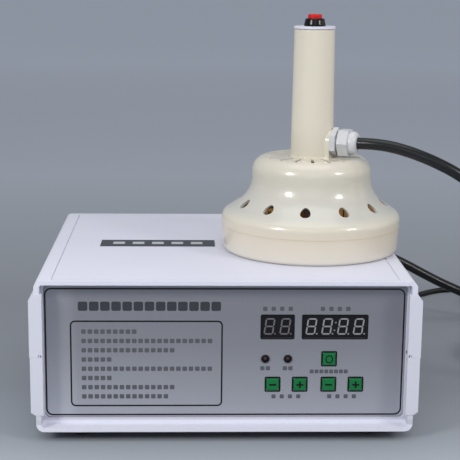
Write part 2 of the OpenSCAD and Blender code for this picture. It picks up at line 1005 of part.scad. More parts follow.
module fan_rotor() {
    back = rear_inner - rotor_setback;
    depth = fan_depth - fan_flange_t - rotor_setback - slip;
    color("#26272A")
        translate([fan_x, back, fan_z])
            rotate([90, 0, 0])
                difference() {
                    union() {
                        cylinder(r = fan_hub_r, h = depth);
                        intersection() {
                            for (i = [0:blade_count - 1])
                                rotate([0, 0, 360 * i / blade_count])
                                    translate([fan_hub_r - rotor_wall, 0, depth / 2])
                                        rotate([blade_pitch, 0, 0])
                                            translate([0, -depth, -blade_t / 2])
                                                cube([fan_size / 2, 2 * depth, blade_t]);
                            cylinder(r = fan_duct_r - blade_gap, h = depth);
                        }
                    }
                    translate([0, 0, rotor_floor])
                        cylinder(r = fan_shaft_r + fan_play, h = depth);
                    // Bell of the motor, open towards its plate
                    translate([0, 0, rotor_bell_floor])
                        difference() {
                            cylinder(r = fan_hub_r - rotor_wall, h = depth);
                            translate([0, 0, -cut])
                                cylinder(r = fan_shaft_r + rotor_sleeve_t, h = depth + 2 * cut);
                        }
                }
}

module fan_guard() {
    color("#1B1C1F")
        translate([fan_x, 0, fan_z])
            facing(rear_y, guard_t)
                difference() {
                    union() {
                        difference() {
                            rounded(fan_size, fan_size, fan_corner_r);
                            circle(fan_duct_r - guard_bar);
                        }
                        for (i = [1:guard_rings])
                            difference() {
                                circle(i * fan_duct_r / (guard_rings + 1) + guard_bar / 2);
                                circle(i * fan_duct_r / (guard_rings + 1) - guard_bar / 2);
                            }
                        for (a = [45:90:315])
                            rotate(a)
                                translate([0, -guard_bar / 2])
                                    square([fan_duct_r - guard_bar / 2, guard_bar]);
                    }
                    fan_corners()
                        circle(fan_hole_r);
                }
}

module fan_screws() {
    color("#B9BCC2")
        translate([fan_x, rear_y + guard_t, fan_z])
            rotate([-90, 0, 0])
                fan_corners()
                    pan_screw(fan_screw_r, fan_screw_l, fan_screw_head_r, fan_screw_head_h);
}

module mains_switch() {
    opening_w = rocker_w + 2 * slip;
    color("#17181A")
        difference() {
            union() {
                facing(rear_y, switch_bezel_t)
                    translate([switch_x, switch_z])
                        rounded(switch_bezel_w, switch_bezel_h, switch_corner_r);
                facing(rear_y - switch_body_d, switch_body_d + switch_bezel_t / 2)
                    translate([switch_x, switch_z])
                        square([switch_body_w, switch_body_h], center = true);
            }
            translate([switch_x - opening_w / 2, rocker_pivot_y, switch_z])
                rotate([0, 90, 0])
                    cylinder(r = rocker_r + slip, h = opening_w);
            translate([switch_x - opening_w / 2 - rocker_pin_l - slip, rocker_pivot_y, switch_z])
                rotate([0, 90, 0])
                    cylinder(r = rocker_pin_r + fan_play, h = opening_w + 2 * (rocker_pin_l + slip));
        }
}

module mains_rocker() {
    front = rear_y + switch_bezel_t + rocker_proud - rocker_pivot_y;
    color("#222326")
        translate([switch_x, rocker_pivot_y, switch_z])
            rotate([rocker_tilt, 0, 0]) {
                translate([-rocker_w / 2, 0, 0])
                    rotate([90, 0, 90])
                        linear_extrude(rocker_w)
                            intersection() {
                                circle(rocker_r);
                                polygon([[-rocker_r / 2, -rocker_r], [front, -rocker_r],
                                    [front - rocker_dip, 0], [front, rocker_r], [-rocker_r / 2, rocker_r]]);
                            }
                translate([-rocker_w / 2 - rocker_pin_l, 0, 0])
                    rotate([0, 90, 0])
                        cylinder(r = rocker_pin_r, h = rocker_w + 2 * rocker_pin_l);
            }
}

module lead_grip() {
    collar = grip_inner_l + panel_t;
    color("#1A1B1D")
        translate([grip_x, rear_inner - grip_inner_l, grip_z])
            rotate([-90, 0, 0])
                rotate_extrude()
                    difference() {
                        polygon([[0, 0], [grip_ridge_r, 0], [grip_ridge_r, grip_inner_l],
                            [grip_hole_r, grip_inner_l], [grip_hole_r, collar], [grip_base_r, collar],
                            [grip_base_r, collar + grip_collar_l], [grip_tip_r, collar + grip_l],
                            [0, collar + grip_l]]);
                        translate([0, -cut])
                            square([mains_d / 2 + screw_play, collar + grip_l + 2 * cut]);
                    }
}

module power_board() {
    color("#1C5F36")
        difference() {
            translate([power_x0, power_y0, power_z])
                cube([power_x1 - power_x0, power_y1 - power_y0, board_t]);
            power_posts(board_t + 2 * cut, power_z - cut, screw_r + screw_play);
        }
}

// Upright finned extrusion, with its fins in the fan's air stream
module heat_sink() {
    color("#B4B7BC")
        translate([sink_x, sink_y0, power_top])
            rotate([90, 0, 180])
                linear_extrude(sink_l)
                    union() {
                        square([sink_base, sink_h]);
                        for (i = [0:fin_count - 1])
                            translate([0, i * (sink_h - fin_t) / (fin_count - 1)])
                                square([sink_base + fin_l, fin_t]);
                    }
}

// Two flat power transistors on the plain face of the heat sink
module power_transistors() {
    color("#18191B")
        for (y = [sink_y0 + sink_l / 4, sink_y0 + sink_l * 3 / 4])
            translate([sink_x, y, power_top]) {
                translate([0, -transistor_w / 2, transistor_z])
                    cube([transistor_t, transistor_w, transistor_h]);
                for (i = [-1:1])
                    translate([transistor_t / 2, i * lead_pitch - lead_w / 2, 0])
                        cube([lead_t, lead_w, transistor_z + cut]);
            }
}

// Block with softened upright edges that stands on the power board
module block(at, size) {
    translate([at[0], at[1], power_top])
        linear_extrude(size[2])
            rounded(size[0], size[1], block_edge);
}

module resonant_capacitor() {
    color("#2F4E86")
        block(resonant_at, resonant_size);
}

module filter_capacitors() {
    color("#C0A23A")
        for (y = filter_y)
            block([parts_x, y], filter_size);
}

module filter_choke() {
    color("#A9652C")
        translate([choke_at[0], choke_at[1], power_top + choke_section])
            rotate_extrude()
                translate([choke_r, 0])
                    circle(choke_section);
}

module control_transformer() {
    color("#4C4E53") {
        block(core_at, core_size);
        translate([core_at[0], core_at[1], power_top + core_size[2] / 2])
            cube([core_size[0] / 2, core_size[1] + 2 * bobbin_proud, core_size[2] / 2], center = true);
    }
}

// Places the head's own frame on the case, with its cable towards the frame's X axis
module on_case() {
    translate([head_x, head_y, case_top])
        rotate([0, 0, head_turn])
            children();
}

// Half outline of the bell, shrunk by an inset
module bell_outline(inset) {
    n = head_flare_n;
    s = shoulder_r - inset;
    f = flare_r + inset;
    touch_s = shoulder_c + s * n;
    touch_f = flare_c - f * n;
    difference() {
        union() {
            polygon([[0, base_h], [rim_r - inset, base_h], [rim_r - inset, shoulder_c[1]], touch_s, touch_f,
                [neck_r - inset, flare_c[1]], [neck_r - inset, deck_z - deck_r],
                [neck_r - deck_r, deck_z - inset], [0, deck_z - inset]]);
            intersection() {
                translate(shoulder_c)
                    circle(s);
                translate([0, base_h])
                    square([rim_r, deck_z]);
            }
            translate([neck_r - deck_r, deck_z - deck_r])
                circle(deck_r - inset);
        }
        translate(flare_c)
            circle(f);
    }
}

// Half outline of the handle as a solid
module handle_outline() {
    polygon([[0, deck_z - shell_t], [handle_r, deck_z - shell_t],
        [handle_top_r, handle_top - handle_edge_r], [handle_top_r - handle_edge_r, handle_top],
        [0, handle_top]]);
    translate([handle_top_r - handle_edge_r, handle_top - handle_edge_r])
        circle(handle_edge_r);
}

module head_bell() {
    color("#DAD7CB")
        on_case()
            difference() {
                union() {
                    difference() {
                        union() {
                            rotate_extrude($fn = 96)
                                bell_outline(0);
                            rotate_extrude()
                                handle_outline();
                            gland_boss();
                        }
                        rotate_extrude($fn = 96)
                            bell_outline(shell_t);
                        rotate_extrude()
                            polygon([[0, deck_z - shell_t - cut],
                                [handle_r - handle_t, deck_z - shell_t - cut],
                                [handle_top_r - handle_t, handle_top + cut], [0, handle_top + cut]]);
                    }
                    intersection() {
                        rotate_extrude($fn = 96)
                            bell_outline(shell_t / 2);
                        base_posts(base_post_r, deck_z, post_top);
                    }
                }
                base_posts(base_screw_r + screw_play, screw_grip + cut, post_top - cut);
                translate([0, 0, gland_z])
                    rotate([0, 90, 0])
                        cylinder(r = gland_thread_r + fit, h = boss_reach + cut);
                vents();
                deck_slots();
            }
}

// Boss for the cable gland on the handle, carried down to the deck
module gland_boss() {
    translate([0, 0, gland_z])
        rotate([0, 90, 0])
            cylinder(r = boss_r, h = boss_reach);
    translate([0, -boss_r, deck_z - shell_t / 2])
        cube([boss_reach, 2 * boss_r, gland_z - deck_z + shell_t / 2]);
}

// Cutters for the ring of vents in the flare
module vents() {
    for (i = [0:vent_count - 1])
        rotate([0, 0, 360 * (i + 0.5) / vent_count])
            translate([vent_r, 0, vent_z])
                rotate([0, -vent_tilt, 0])
                    rotate([90, 0, 90])
                        translate([0, 0, -vent_reach])
                            linear_extrude(2 * vent_reach)
                                polygon(vent_points());
}

// Cutters for the ring of slots in the deck
module deck_slots() {
    for (i = [0:slot_count - 1])
        rotate([0, 0, 360 * (i + 0.5) / slot_count])
            translate([slot_r0, -slot_w / 2, deck_z - shell_t - cut])
                cube([slot_r1 - slot_r0, slot_w, shell_t + 2 * cut]);
}

module head_base() {
    color("#D8D4C6")
        on_case()
            difference() {
                union() {
                    rotate_extrude($fn = 96)
                        difference() {
                            union() {
                                polygon([[0, 0], [rim_r - base_draft - base_corner_r, 0],
                                    [rim_r - base_draft, base_corner_r], [rim_r, base_h], [0, base_h]]);
                                translate([rim_r - base_draft - base_corner_r, base_corner_r])
                                    circle(base_corner_r);
                            }
                            translate([0, base_floor])
                                square([rim_r - base_draft - shell_t, base_h]);
                        }
                    // Lip that centres the bell
                    rotate_extrude($fn = 96)
                        translate([rim_r - shell_t - fit - base_lip_t, base_h - base_lip_h])
                            square([base_lip_t, 2 * base_lip_h]);
                    base_posts(base_post_r, post_top - base_floor / 2, base_floor / 2);
                }
                base_posts(base_screw_r + screw_play, post_top + 2 * cut, -cut);
                base_posts(base_screw_head_r + screw_play, base_screw_head_h + cut, -cut);
            }
}

// Posts, or holes, for the screws of the base cover
module base_posts(r, h, z) {
    for (i = [0:base_screw_count - 1])
        rotate([0, 0, 360 * (i + 0.5) / base_screw_count])
            translate([base_screw_pcd_r, 0, z])
                cylinder(r = r, h = h);
}

module base_screws() {
    color("#B9BCC2")
        on_case()
            for (i = [0:base_screw_count - 1])
                rotate([0, 0, 360 * (i + 0.5) / base_screw_count])
                    translate([base_screw_pcd_r, 0, base_screw_head_h])
                        mirror([0, 0, 1])
                            pan_screw(base_screw_r, base_screw_l, base_screw_head_r, base_screw_head_h);
}

module coil_former() {
    color("#9A5A2B")
        on_case()
            rotate_extrude()
                difference() {
                    union() {
                        translate([0, base_floor])
                            square([former_r, former_t]);
                        translate([0, base_floor])
                            square([former_hub_r, plate_z - base_floor + former_plate_t]);
                        translate([0, plate_z])
                            square([former_r, former_plate_t]);
                    }
                    translate([0, base_floor - cut])
                        square([former_bore_r, plate_z - base_floor + former_plate_t + 2 * cut]);
                }
}

// Winding of round cable, with its turns side by side and in layers
module induction_coil() {
    color("#B87333")
        on_case()
            rotate_extrude()
                for (i = [0:coil_columns - 1], j = [0:coil_rows - 1])
                    translate([coil_r0 + (i + 0.5) * litz_d, coil_z + (j + 0.5) * litz_d])
                        circle(litz_d / 2 + litz_bond);
}

module ferrite_bars() {
    color("#2B2B2E")
        on_case()
            for (i = [0:bar_count - 1])
                rotate([0, 0, 360 * (i + 0.5) / bar_count])
                    translate([bar_r0, -bar_w / 2, plate_z + former_plate_t])
                        cube([bar_r1 - bar_r0, bar_w, bar_h]);
}

module handle_cap() {
    color("#E4E6EA")
        on_case()
            rotate_extrude()
                difference() {
                    union() {
                        translate([0, handle_top])
                            square([handle_top_r - handle_edge_r, cap_gap + cut]);
                        translate([0, handle_top + cap_gap])
                            square([cap_r - cap_edge, cap_t]);
                        translate([0, handle_top + cap_gap])
                            square([cap_r, cap_t - cap_edge]);
                        translate([0, handle_top - cap_spigot_h])
                            square([handle_top_r - handle_t - fit, cap_spigot_h + cap_gap]);
                    }
                    translate([0, handle_top - cap_spigot_h - cut])
                        square([thread_r + fit, cap_spigot_h + cap_gap + cap_t + 2 * cut]);
                }
}

module trigger_body() {
    well = bezel_top - button_h + button_proud - button_travel - button_stop;
    color("#1A1A1C")
        on_case()
            rotate_extrude()
                difference() {
                    union() {
                        polygon([[0, bezel_z], [bezel_r, bezel_z], [bezel_r, bezel_z + bezel_rim_h],
                            [bezel_top_r, bezel_top - bezel_edge],
                            [bezel_top_r - bezel_edge, bezel_top], [0, bezel_top]]);
                        translate([bezel_top_r - bezel_edge, bezel_top - bezel_edge])
                            circle(bezel_edge);
                        translate([0, bezel_z - thread_l])
                            square([thread_r, thread_l + cut]);
                    }
                    translate([0, well])
                        square([button_r + slip, bezel_top - well + cut]);
                }
}

module trigger_button() {
    top = bezel_top + button_proud;
    color("#C81F16")
        on_case()
            rotate_extrude()
                union() {
                    translate([0, top - button_h])
                        square([button_r, button_h - button_edge]);
                    translate([0, top - button_h])
                        square([button_r - button_edge, button_h]);
                    translate([button_r - button_edge, top - button_edge])
                        circle(button_edge);
                }
}

module trigger_nut() {
    color("#B9BCC2")
        on_case()
            translate([0, 0, handle_top - cap_spigot_h - nut_t])
                linear_extrude(nut_t)
                    difference() {
                        hexagon(nut_flats);
                        circle(thread_r + fit);
                    }
}

// Gland with its flange on a wall at the origin, its thread behind and its cable along X
module gland_body(thread_l) {
    rotate([0, 90, 0])
        difference() {
            union() {
                linear_extrude(gland_flange_t)
                    hexagon(gland_flats);
                translate([0, 0, -thread_l])
                    cylinder(r = gland_thread_r, h = thread_l + cut);
                cylinder(r = gland_neck_r, h = gland_flange_t + gland_neck_l);
            }
            translate([0, 0, -thread_l - cut])
                cylinder(r = gland_bore, h = thread_l + gland_flange_t + gland_neck_l + 2 * cut);
        }
}

module gland_nut() {
    start = gland_flange_t + gland_gap;
    dome_z = start + gland_nut_l;
    translate([start, 0, 0])
        rotate([0, 90, 0])
            difference() {
                union() {
                    rotate(30)
                        linear_extrude(gland_nut_l)
                            hexagon(gland_flats);
                    translate([0, 0, gland_nut_l - cut])
                        rotate_extrude()
                            union() {
                                square([gland_dome_r, cut + gland_dome_l - gland_dome_edge]);
                                square([gland_dome_r - gland_dome_edge, cut + gland_dome_l]);
                                translate([gland_dome_r - gland_dome_edge,
                                    cut + gland_dome_l - gland_dome_edge])
                                    circle(gland_dome_edge);
                            }
                }
                translate([0, 0, -cut])
                    cylinder(r = gland_neck_r + gland_play, h = gland_neck_l + cut);
                translate([0, 0, -cut])
                    cylinder(r = gland_seal_r + gland_play, h = gland_nut_l + gland_rim_l + cut);
                cylinder(r = gland_bore, h = dome_z + cut);
            }
}

// Rubber sleeve that grips the cable in the nut
module gland_seal() {
    translate([gland_flange_t + gland_neck_l + gland_play, 0, 0])
        rotate([0, 90, 0])
            difference() {
                cylinder(r = gland_seal_r, h = gland_nut_l + gland_rim_l - gland_neck_l - gland_play);
                translate([0, 0, -cut])
                    cylinder(r = gland_bore, h = gland_nut_l + 2 * cut);
            }
}

module gland_locknut() {
    rotate([0, 90, 0])
        linear_extrude(locknut_t)
            difference() {
                circle(locknut_r);
                circle(gland_thread_r + fit);
            }
}

module at_head_gland() {
    on_case()
        translate([boss_reach, 0, gland_z])
            children();
}

module at_case_gland() {
    translate([rear_gland_x, rear_y, rear_gland_z])
        rotate([0, 0, 90])
            children();
}

module head_gland_body() {
    color("#D3D6DC")
        at_head_gland()
            gland_body(head_thread_l);
}

module head_gland_nut() {
    color("#DADDE2")
        at_head_gland()
            gland_nut();
}

module case_gland_body() {
    color("#D3D6DC")
        at_case_gland()
            gland_body(gland_thread_l);
}

module case_gland_nut() {
    color("#DADDE2")
        at_case_gland()
            gland_nut();
}

module gland_seals() {
    color("#3A3B3E") {
        at_head_gland()
            gland_seal();
        at_case_gland()
            gland_seal();
    }
}

module case_gland_locknut() {
    color("#D3D6DC")
        at_case_gland()
            translate([-panel_t - locknut_t, 0, 0])
                gland_locknut();
}

// Route of the cable from inside a gland to a free run
function head_gland_point(reach) = [head_x + (boss_reach + reach) * cos(head_turn),
    head_y + (boss_reach + reach) * sin(head_turn), case_top + gland_z];
function case_gland_point(reach) = [rear_gland_x, rear_y + reach, rear_gland_z];

module head_cable_out() {
    color("#232428")
        cord(concat([head_gland_point(0), head_gland_point(gland_tip)], cable_out_route), cable_d / 2);
}

module head_cable_back() {
    color("#232428")
        cord(concat(cable_back_route, [case_gland_point(gland_tip), case_gland_point(0)]), cable_d / 2);
}

// Outer shape of a round coil of cord
module coil_solid(at, r, w, h, corner) {
    translate([at[0], at[1], h / 2])
        rotate_extrude()
            translate([r, 0])
                rounded(w, h, corner);
}

module head_cable_coil() {
    color("#232428")
        coil_solid(cable_coil_at, cable_coil_r, cable_d, cable_coil_h, cable_d / 2 - fit);
}

module mains_lead() {
    color("#1E1F22")
        cord(concat([[grip_x, rear_inner, grip_z], [grip_x, rear_y + grip_l, grip_z]], mains_route),
            mains_d / 2);
}

module mains_coil() {
    color("#1E1F22")
        coil_solid(mains_coil_at, mains_coil_r, mains_coil_columns * mains_d, mains_coil_rows * mains_d,
            mains_d / 2);
}

module mains_tail() {
    color("#1E1F22")
        cord(mains_tail_route, mains_d / 2);
}

module mains_plug() {
    color("#1C1D1F")
        translate(plug_at)
            rotate([90, 0, 0]) {
                rotate_extrude()
                    polygon([[0, 0], [mains_d / 2 + plug_grip_t, 0],
                        [mains_d / 2 + plug_grip_base_t, plug_grip_l], [0, plug_grip_l]]);
                translate([0, 0, plug_grip_l - cut])
                    linear_extrude(plug_l - plug_grip_l + cut)
                        rounded(plug_w, plug_h, plug_corner_r);
            }
}

module plug_pins() {
    color("#C9B36A")
        translate([plug_at[0], plug_at[1] - plug_l, plug_at[2]])
            rotate([90, 0, 0])
                linear_extrude(pin_l)
                    union() {
                        translate([0, -earth_drop])
                            square([pin_t, pin_w], center = true);
                        for (x = [-1, 1])
                            translate([x * pin_spread, pin_rise])
                                rotate(x * pin_turn)
                                    square([pin_t, pin_w], center = true);
                    }
}

upper_shell();
lower_shell();
front_panel();
front_film();
rear_panel();
top_strip();
feet();
case_screws();
two_digit_display();
four_digit_display();
power_lamp();
work_lamp();
lamp_clips();
key_reset();
key_time_minus();
key_time_plus();
key_power_minus();
key_power_plus();
control_board();
key_switches();
board_screws();
power_board();
heat_sink();
power_transistors();
resonant_capacitor();
filter_capacitors();
filter_choke();
control_transformer();
fan_frame();
fan_rotor();
fan_guard();
fan_screws();
mains_switch();
mains_rocker();
lead_grip();
head_bell();
head_base();
base_screws();
coil_former();
induction_coil();
ferrite_bars();
handle_cap();
trigger_body();
trigger_button();
trigger_nut();
head_gland_body();
head_gland_nut();
case_gland_body();
case_gland_nut();
gland_seals();
case_gland_locknut();
head_cable_out();
head_cable_coil();
head_cable_back();
mains_lead();
mains_coil();
mains_tail();
mains_plug();
plug_pins();
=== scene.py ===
"""Looks of an induction cap sealer: a bench generator with a hand-held sealing head on its cable."""

import math

import bmesh
import bpy
from mathutils import Matrix, Vector


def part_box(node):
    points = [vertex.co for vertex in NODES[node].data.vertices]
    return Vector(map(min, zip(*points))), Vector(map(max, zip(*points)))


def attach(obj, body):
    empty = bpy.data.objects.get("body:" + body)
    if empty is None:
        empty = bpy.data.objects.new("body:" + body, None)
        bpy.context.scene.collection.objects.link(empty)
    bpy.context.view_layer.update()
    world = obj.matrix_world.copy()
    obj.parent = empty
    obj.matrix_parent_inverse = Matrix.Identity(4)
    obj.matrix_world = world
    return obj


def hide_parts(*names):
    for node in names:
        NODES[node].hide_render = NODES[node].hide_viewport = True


bl_info = {
    "name": "Induction cap sealer",
    "version": (1, 0, 0),
    "blender": (4, 5, 0),
    "location": "3D View > Sidebar > Cap sealer",
    "description": "Dresses the solids of a cap sealer with finishes, panel print, displays and cables",
    "category": "Object",
}

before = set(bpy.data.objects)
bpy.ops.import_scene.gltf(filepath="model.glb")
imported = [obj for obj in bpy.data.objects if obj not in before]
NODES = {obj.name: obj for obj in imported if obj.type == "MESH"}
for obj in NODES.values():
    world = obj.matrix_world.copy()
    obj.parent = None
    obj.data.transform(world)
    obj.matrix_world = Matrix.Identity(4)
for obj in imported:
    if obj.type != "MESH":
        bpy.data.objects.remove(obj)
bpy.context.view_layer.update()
MM = 0.001
WHITE = (1, 1, 1)

# Height of the grain that a surface's bump gives at full strength
GRAIN_DEPTH = 0.1 * MM

# Sockets of a Mix node that mixes colours
MIX_SHARE, MIX_A, MIX_B, MIXED = 0, 6, 7, 2
MULTIPLY = {"data_type": "RGBA", "blend_type": "MULTIPLY", MIX_SHARE: 1.0}

# The head's own axis and the way its cable points
HEAD_AXIS = Vector((0.0772, -0.0124, 0.0))
HEAD_TURN = math.radians(-24.5)
HEAD_GLAND_Z = 0.227
HEAD_GLAND_REACH = (0.0190, 0.0416)

# Free runs of the head's cable in millimetres, from the handle to its coil and on to the rear panel
CABLE_OUT = [
    (127, -35, 227), (140, -39, 226), (152, -43, 223), (166, -46, 219), (182, -48, 212), (198, -49, 204),
    (212, -49, 194), (225, -48, 182), (237, -47, 168), (247, -45, 152), (256, -43, 134), (264, -40, 115),
    (271, -37, 95), (279, -33, 75), (288, -28, 55), (298, -19, 37), (310, -8, 22), (322, 3, 11),
    (335, 15, 6), (347, 25, 5),
]
CABLE_BACK = [
    (369, 70, 26), (369, 90, 25), (369, 110, 18), (368, 130, 9), (363, 150, 5), (353, 169, 5),
    (340, 185, 6), (324, 198, 9), (306, 208, 15), (287, 215, 23), (266, 220, 32), (245, 220, 41),
    (226, 220, 51), (207, 220, 61), (187, 218, 71), (168, 214, 79), (150, 206, 86), (135, 195, 91),
    (122, 181, 94), (113, 165, 95),
]
CASE_GLAND = [(110, 148.6, 95), (110, 126, 95)]
CABLE_D = 0.010
CABLE_COIL = Vector((0.312, 0.070, 0.0))
CABLE_COIL_R = 0.057
CABLE_COIL_H = 0.0205
CABLE_TIE_ANGLE = math.radians(120)
CABLE_TIE_W = 0.014

# Free runs of the mains lead in millimetres, from its grip to its coil and from there to the plug
MAINS_START = [(45, 123, 40), (45, 162, 40)]
MAINS_RUN = [
    (45, 176, 39), (47, 191, 34), (51, 205, 26), (58, 219, 17), (67, 232, 9), (79, 244, 4),
    (94, 254, 3), (111, 262, 3), (129, 269, 3), (148, 275, 3), (167, 281, 3), (186, 287, 3),
    (205, 294, 3), (224, 304, 3), (241, 317, 3), (256, 330, 3), (271, 338, 3), (287, 340, 3),
    (303, 338, 3), (319, 334, 3), (334, 330, 3), (349, 324, 3), (363, 314, 3),
]
MAINS_D = 0.006
MAINS_COIL = Vector((0.335, 0.285, 0.0))
MAINS_COIL_R = 0.0337
MAINS_COIL_W = 0.0128
MAINS_COIL_H = 0.0122
MAINS_TIE_ANGLE = math.radians(200)
MAINS_TIE_W = 0.010
MAINS_TAIL = [(375, 285, 9), (376, 272, 9), (376, 258, 9)]


def linear(hex_colour):
    """Linear RGB of an sRGB hex colour."""
    channels = [int(hex_colour[i:i + 2], 16) / 255 for i in (1, 3, 5)]
    return tuple(c / 12.92 if c <= 0.04045 else ((c + 0.055) / 1.055) ** 2.4 for c in channels)


def colour_property(name, description, hex_colour):
    """A colour to set, from an sRGB hex default."""
    return bpy.props.FloatVectorProperty(
        name=name, description=description, subtype="COLOR", size=3, min=0, max=1, default=linear(hex_colour))


def length_property(name, description, millimetres):
    """A length to set, from a default in millimetres."""
    return bpy.props.FloatProperty(
        name=name, description=description, unit="LENGTH", precision=5, default=millimetres * MM)


def angle_property(name, description, degrees):
    """An angle to set, from a default in degrees."""
    return bpy.props.FloatProperty(
        name=name, description=description, subtype="ANGLE", default=math.radians(degrees))


def power_property(name, description, watts):
    """A lamp's power to set, in watts."""
    return bpy.props.FloatProperty(name=name, description=description, subtype="POWER", default=watts)


class SealerColours(bpy.types.PropertyGroup):
    """Colours of the sealer's finishes"""

    case_white: colour_property("Case white", "Moulded case halves", "#D7D8E5")
    head_cream: colour_property("Head cream", "Glossy sealing head", "#DEDACD")
    panel_grey: colour_property("Panel grey", "Printed film on the front panel", "#A7AAB5")
    ink_black: colour_property("Ink black", "Frames and lines printed on the film", "#0C0C0F")
    ink_grey: colour_property("Ink grey", "Small print on the film", "#585A61")
    key_green: colour_property("Key green", "Square keys", "#0A6E3A")
    button_red: colour_property("Button red", "Trigger on the handle", "#C8100A")
    gland_white: colour_property("Gland white", "Cable glands", "#C9CACD")
    cable_black: colour_property("Cable black", "Sheath of the cables", "#0E0F11")
    backdrop: colour_property("Backdrop", "Paper that the object stands on", "#999FA7")


class SealerSizes(bpy.types.PropertyGroup):
    """Sizes of the print, the displays and the small details"""

    ink_height: length_property("Ink height", "Thickness of the screen print", 0.05)
    line_width: length_property("Line width", "Width of the printed lines", 1.25)
    border_left: length_property("Border at the left", "Film outside the border line", 0.9)
    border_right: length_property("Border at the right", "Film outside the border line", 1.7)
    border_top: length_property("Border at the top", "Film outside the border line", 2.2)
    border_foot: length_property("Border at the foot", "Film outside the border line", 1.65)
    border_corner: length_property("Border corner", "Corner radius of the border line", 5)
    window_rim: length_property("Window rim", "Black frame above and below a display", 1.1)
    key_rim: length_property("Key rim", "Black frame round a key", 1.1)
    digit_height: length_property("Digit height", "Height of a display's digit", 13.6)
    digit_width: length_property("Digit width", "Width of a display's digit before it slants", 7.8)
    segment_stroke: length_property("Segment stroke", "Width of a display's segment", 1.15)
    symbol_size: length_property("Symbol size", "Width of the sign on a key", 5.7)
    symbol_stroke: length_property("Symbol stroke", "Stroke of the sign on a key", 1.45)
    digit_slant: angle_property("Digit slant", "Lean of a display's digits", 8)


class SealerStage(bpy.types.PropertyGroup):
    """Camera and light"""

    camera_at: bpy.props.FloatVectorProperty(
        name="Camera", description="Place of the camera", subtype="TRANSLATION",
        default=(-0.0316, -1.0900, 0.3704))
    camera_yaw: angle_property("Yaw", "Turn of the camera to the right", 2.03)
    camera_pitch: angle_property("Pitch", "How far the camera looks down", 11.695)
    camera_roll: angle_property("Roll", "Roll of the camera", 0.606)
    camera_lens: bpy.props.FloatProperty(
        name="Lens", description="Focal length of the camera in millimetres", default=97.86)
    left_power: power_property("Left softbox", "Power of the softbox at the left", 10.2)
    right_power: power_property("Right softbox", "Power of the softbox at the right", 7.0)
    fill_power: power_property("Fill", "Power of the light behind the camera", 5)
    overhead_power: power_property("Overhead", "Power of the overhead light", 9)
    side_power: power_property("Side panel", "Power of the warm panel at the right", 2.5)
    ambient: bpy.props.FloatProperty(
        name="Ambient", description="Strength of the light from all round", default=0.82)


def add_node(material, kind, settings=None, links=None):
    """Adds a shader node, with its properties and input values, and links its inputs to other sockets."""
    node = material.node_tree.nodes.new("ShaderNode" + kind)
    for name, value in (settings or {}).items():
        if isinstance(name, int) or name in node.inputs:
            node.inputs[name].default_value = value
        else:
            setattr(node, name, value)
    for name, socket in (links or {}).items():
        material.node_tree.links.new(socket, node.inputs[name])
    return node


def principled(material):
    """Inputs of a material's Principled shader."""
    return material.node_tree.nodes["Principled BSDF"].inputs


def start_material(name, colour, **values):
    """A material whose Principled shader has its constant values set on its own sockets."""
    material = bpy.data.materials.new(name)
    material.use_nodes = True
    principled(material)["Base Color"].default_value = (*colour, 1)
    for socket, value in values.items():
        socket = socket.replace("_", " ").title().replace("Ior", "IOR")
        principled(material)[socket].default_value = value
    return material


def graded_colour(material, axis, stops, times=None):
    """Colour along an axis of the object, from stops of a place in metres and a linear colour.
    It may be multiplied with another colour of the material."""
    place = add_node(material, "TexCoord").outputs["Object"]
    along = add_node(material, "SeparateXYZ", None, {"Vector": place}).outputs[axis]
    start, end = stops[0][0], stops[-1][0]
    share = add_node(material, "MapRange", {"From Min": start, "From Max": end}, {"Value": along})
    ramp = add_node(material, "ValToRGB", None, {"Fac": share.outputs["Result"]})
    elements = ramp.color_ramp.elements
    elements.remove(elements[1])
    for at, colour in stops:
        element = elements[0] if at == start else elements.new((at - start) / (end - start))
        element.color = (*colour, 1)
    if not times:
        return ramp.outputs["Color"]
    mix = add_node(material, "Mix", MULTIPLY, {MIX_A: times, MIX_B: ramp.outputs["Color"]})
    return mix.outputs[MIXED]


def shaded(colour, shades):
    """Stops for a graded colour: places with the colour times a shade."""
    return [(place, [c * shade for c in colour]) for place, shade in shades]


def surface_detail(material, colour, clouds, grain, rough=None, edge=0):
    """Cloudy colour, a fine grain in the normals and uneven gloss. Clouds and grain have a real size in
    millimetres and a strength, and the colour is a constant or the output of another node."""
    link = material.node_tree.links.new
    shader = principled(material)
    place = add_node(material, "TexCoord").outputs["Object"]
    cloudy, grainy = [
        add_node(material, "TexNoise", {"Scale": 1 / (size * MM), "Detail": detail}, {"Vector": place})
        for size, detail in ((clouds[0], 3), (grain[0], 2))]
    tints = add_node(material, "ValToRGB", None, {"Fac": cloudy.outputs["Fac"]})
    dark, pale = tints.color_ramp.elements
    dark.position = 0.3
    dark.color = (1 - clouds[1], 1 - clouds[1], 1 - clouds[1], 1)
    pale.position = 0.7
    mix = add_node(material, "Mix", MULTIPLY, {MIX_B: tints.outputs["Color"]})
    if isinstance(colour, bpy.types.NodeSocket):
        link(colour, mix.inputs[MIX_A])
    else:
        mix.inputs[MIX_A].default_value = (*colour, 1)
    link(mix.outputs[MIXED], shader["Base Color"])
    if rough:
        gloss = add_node(material, "MapRange", {"To Min": rough[0], "To Max": rough[1]},
                         {"Value": cloudy.outputs["Fac"]})
        link(gloss.outputs["Result"], shader["Roughness"])
    relief = add_node(material, "Bump", {"Strength": grain[1], "Distance": GRAIN_DEPTH},
                      {"Height": grainy.outputs["Fac"]})
    if edge:
        edges = add_node(material, "Bevel", {"samples": 4, "Radius": edge * MM})
        link(edges.outputs["Normal"], relief.inputs["Normal"])
    link(relief.outputs["Normal"], shader["Normal"])
    return material


def one_colour(name, colour, clouds, grain, rough=None, edge=0, **values):
    """A material in one colour, with its surface detail."""
    material = start_material(name, colour, **values)
    return surface_detail(material, colour, clouds, grain, rough, edge)


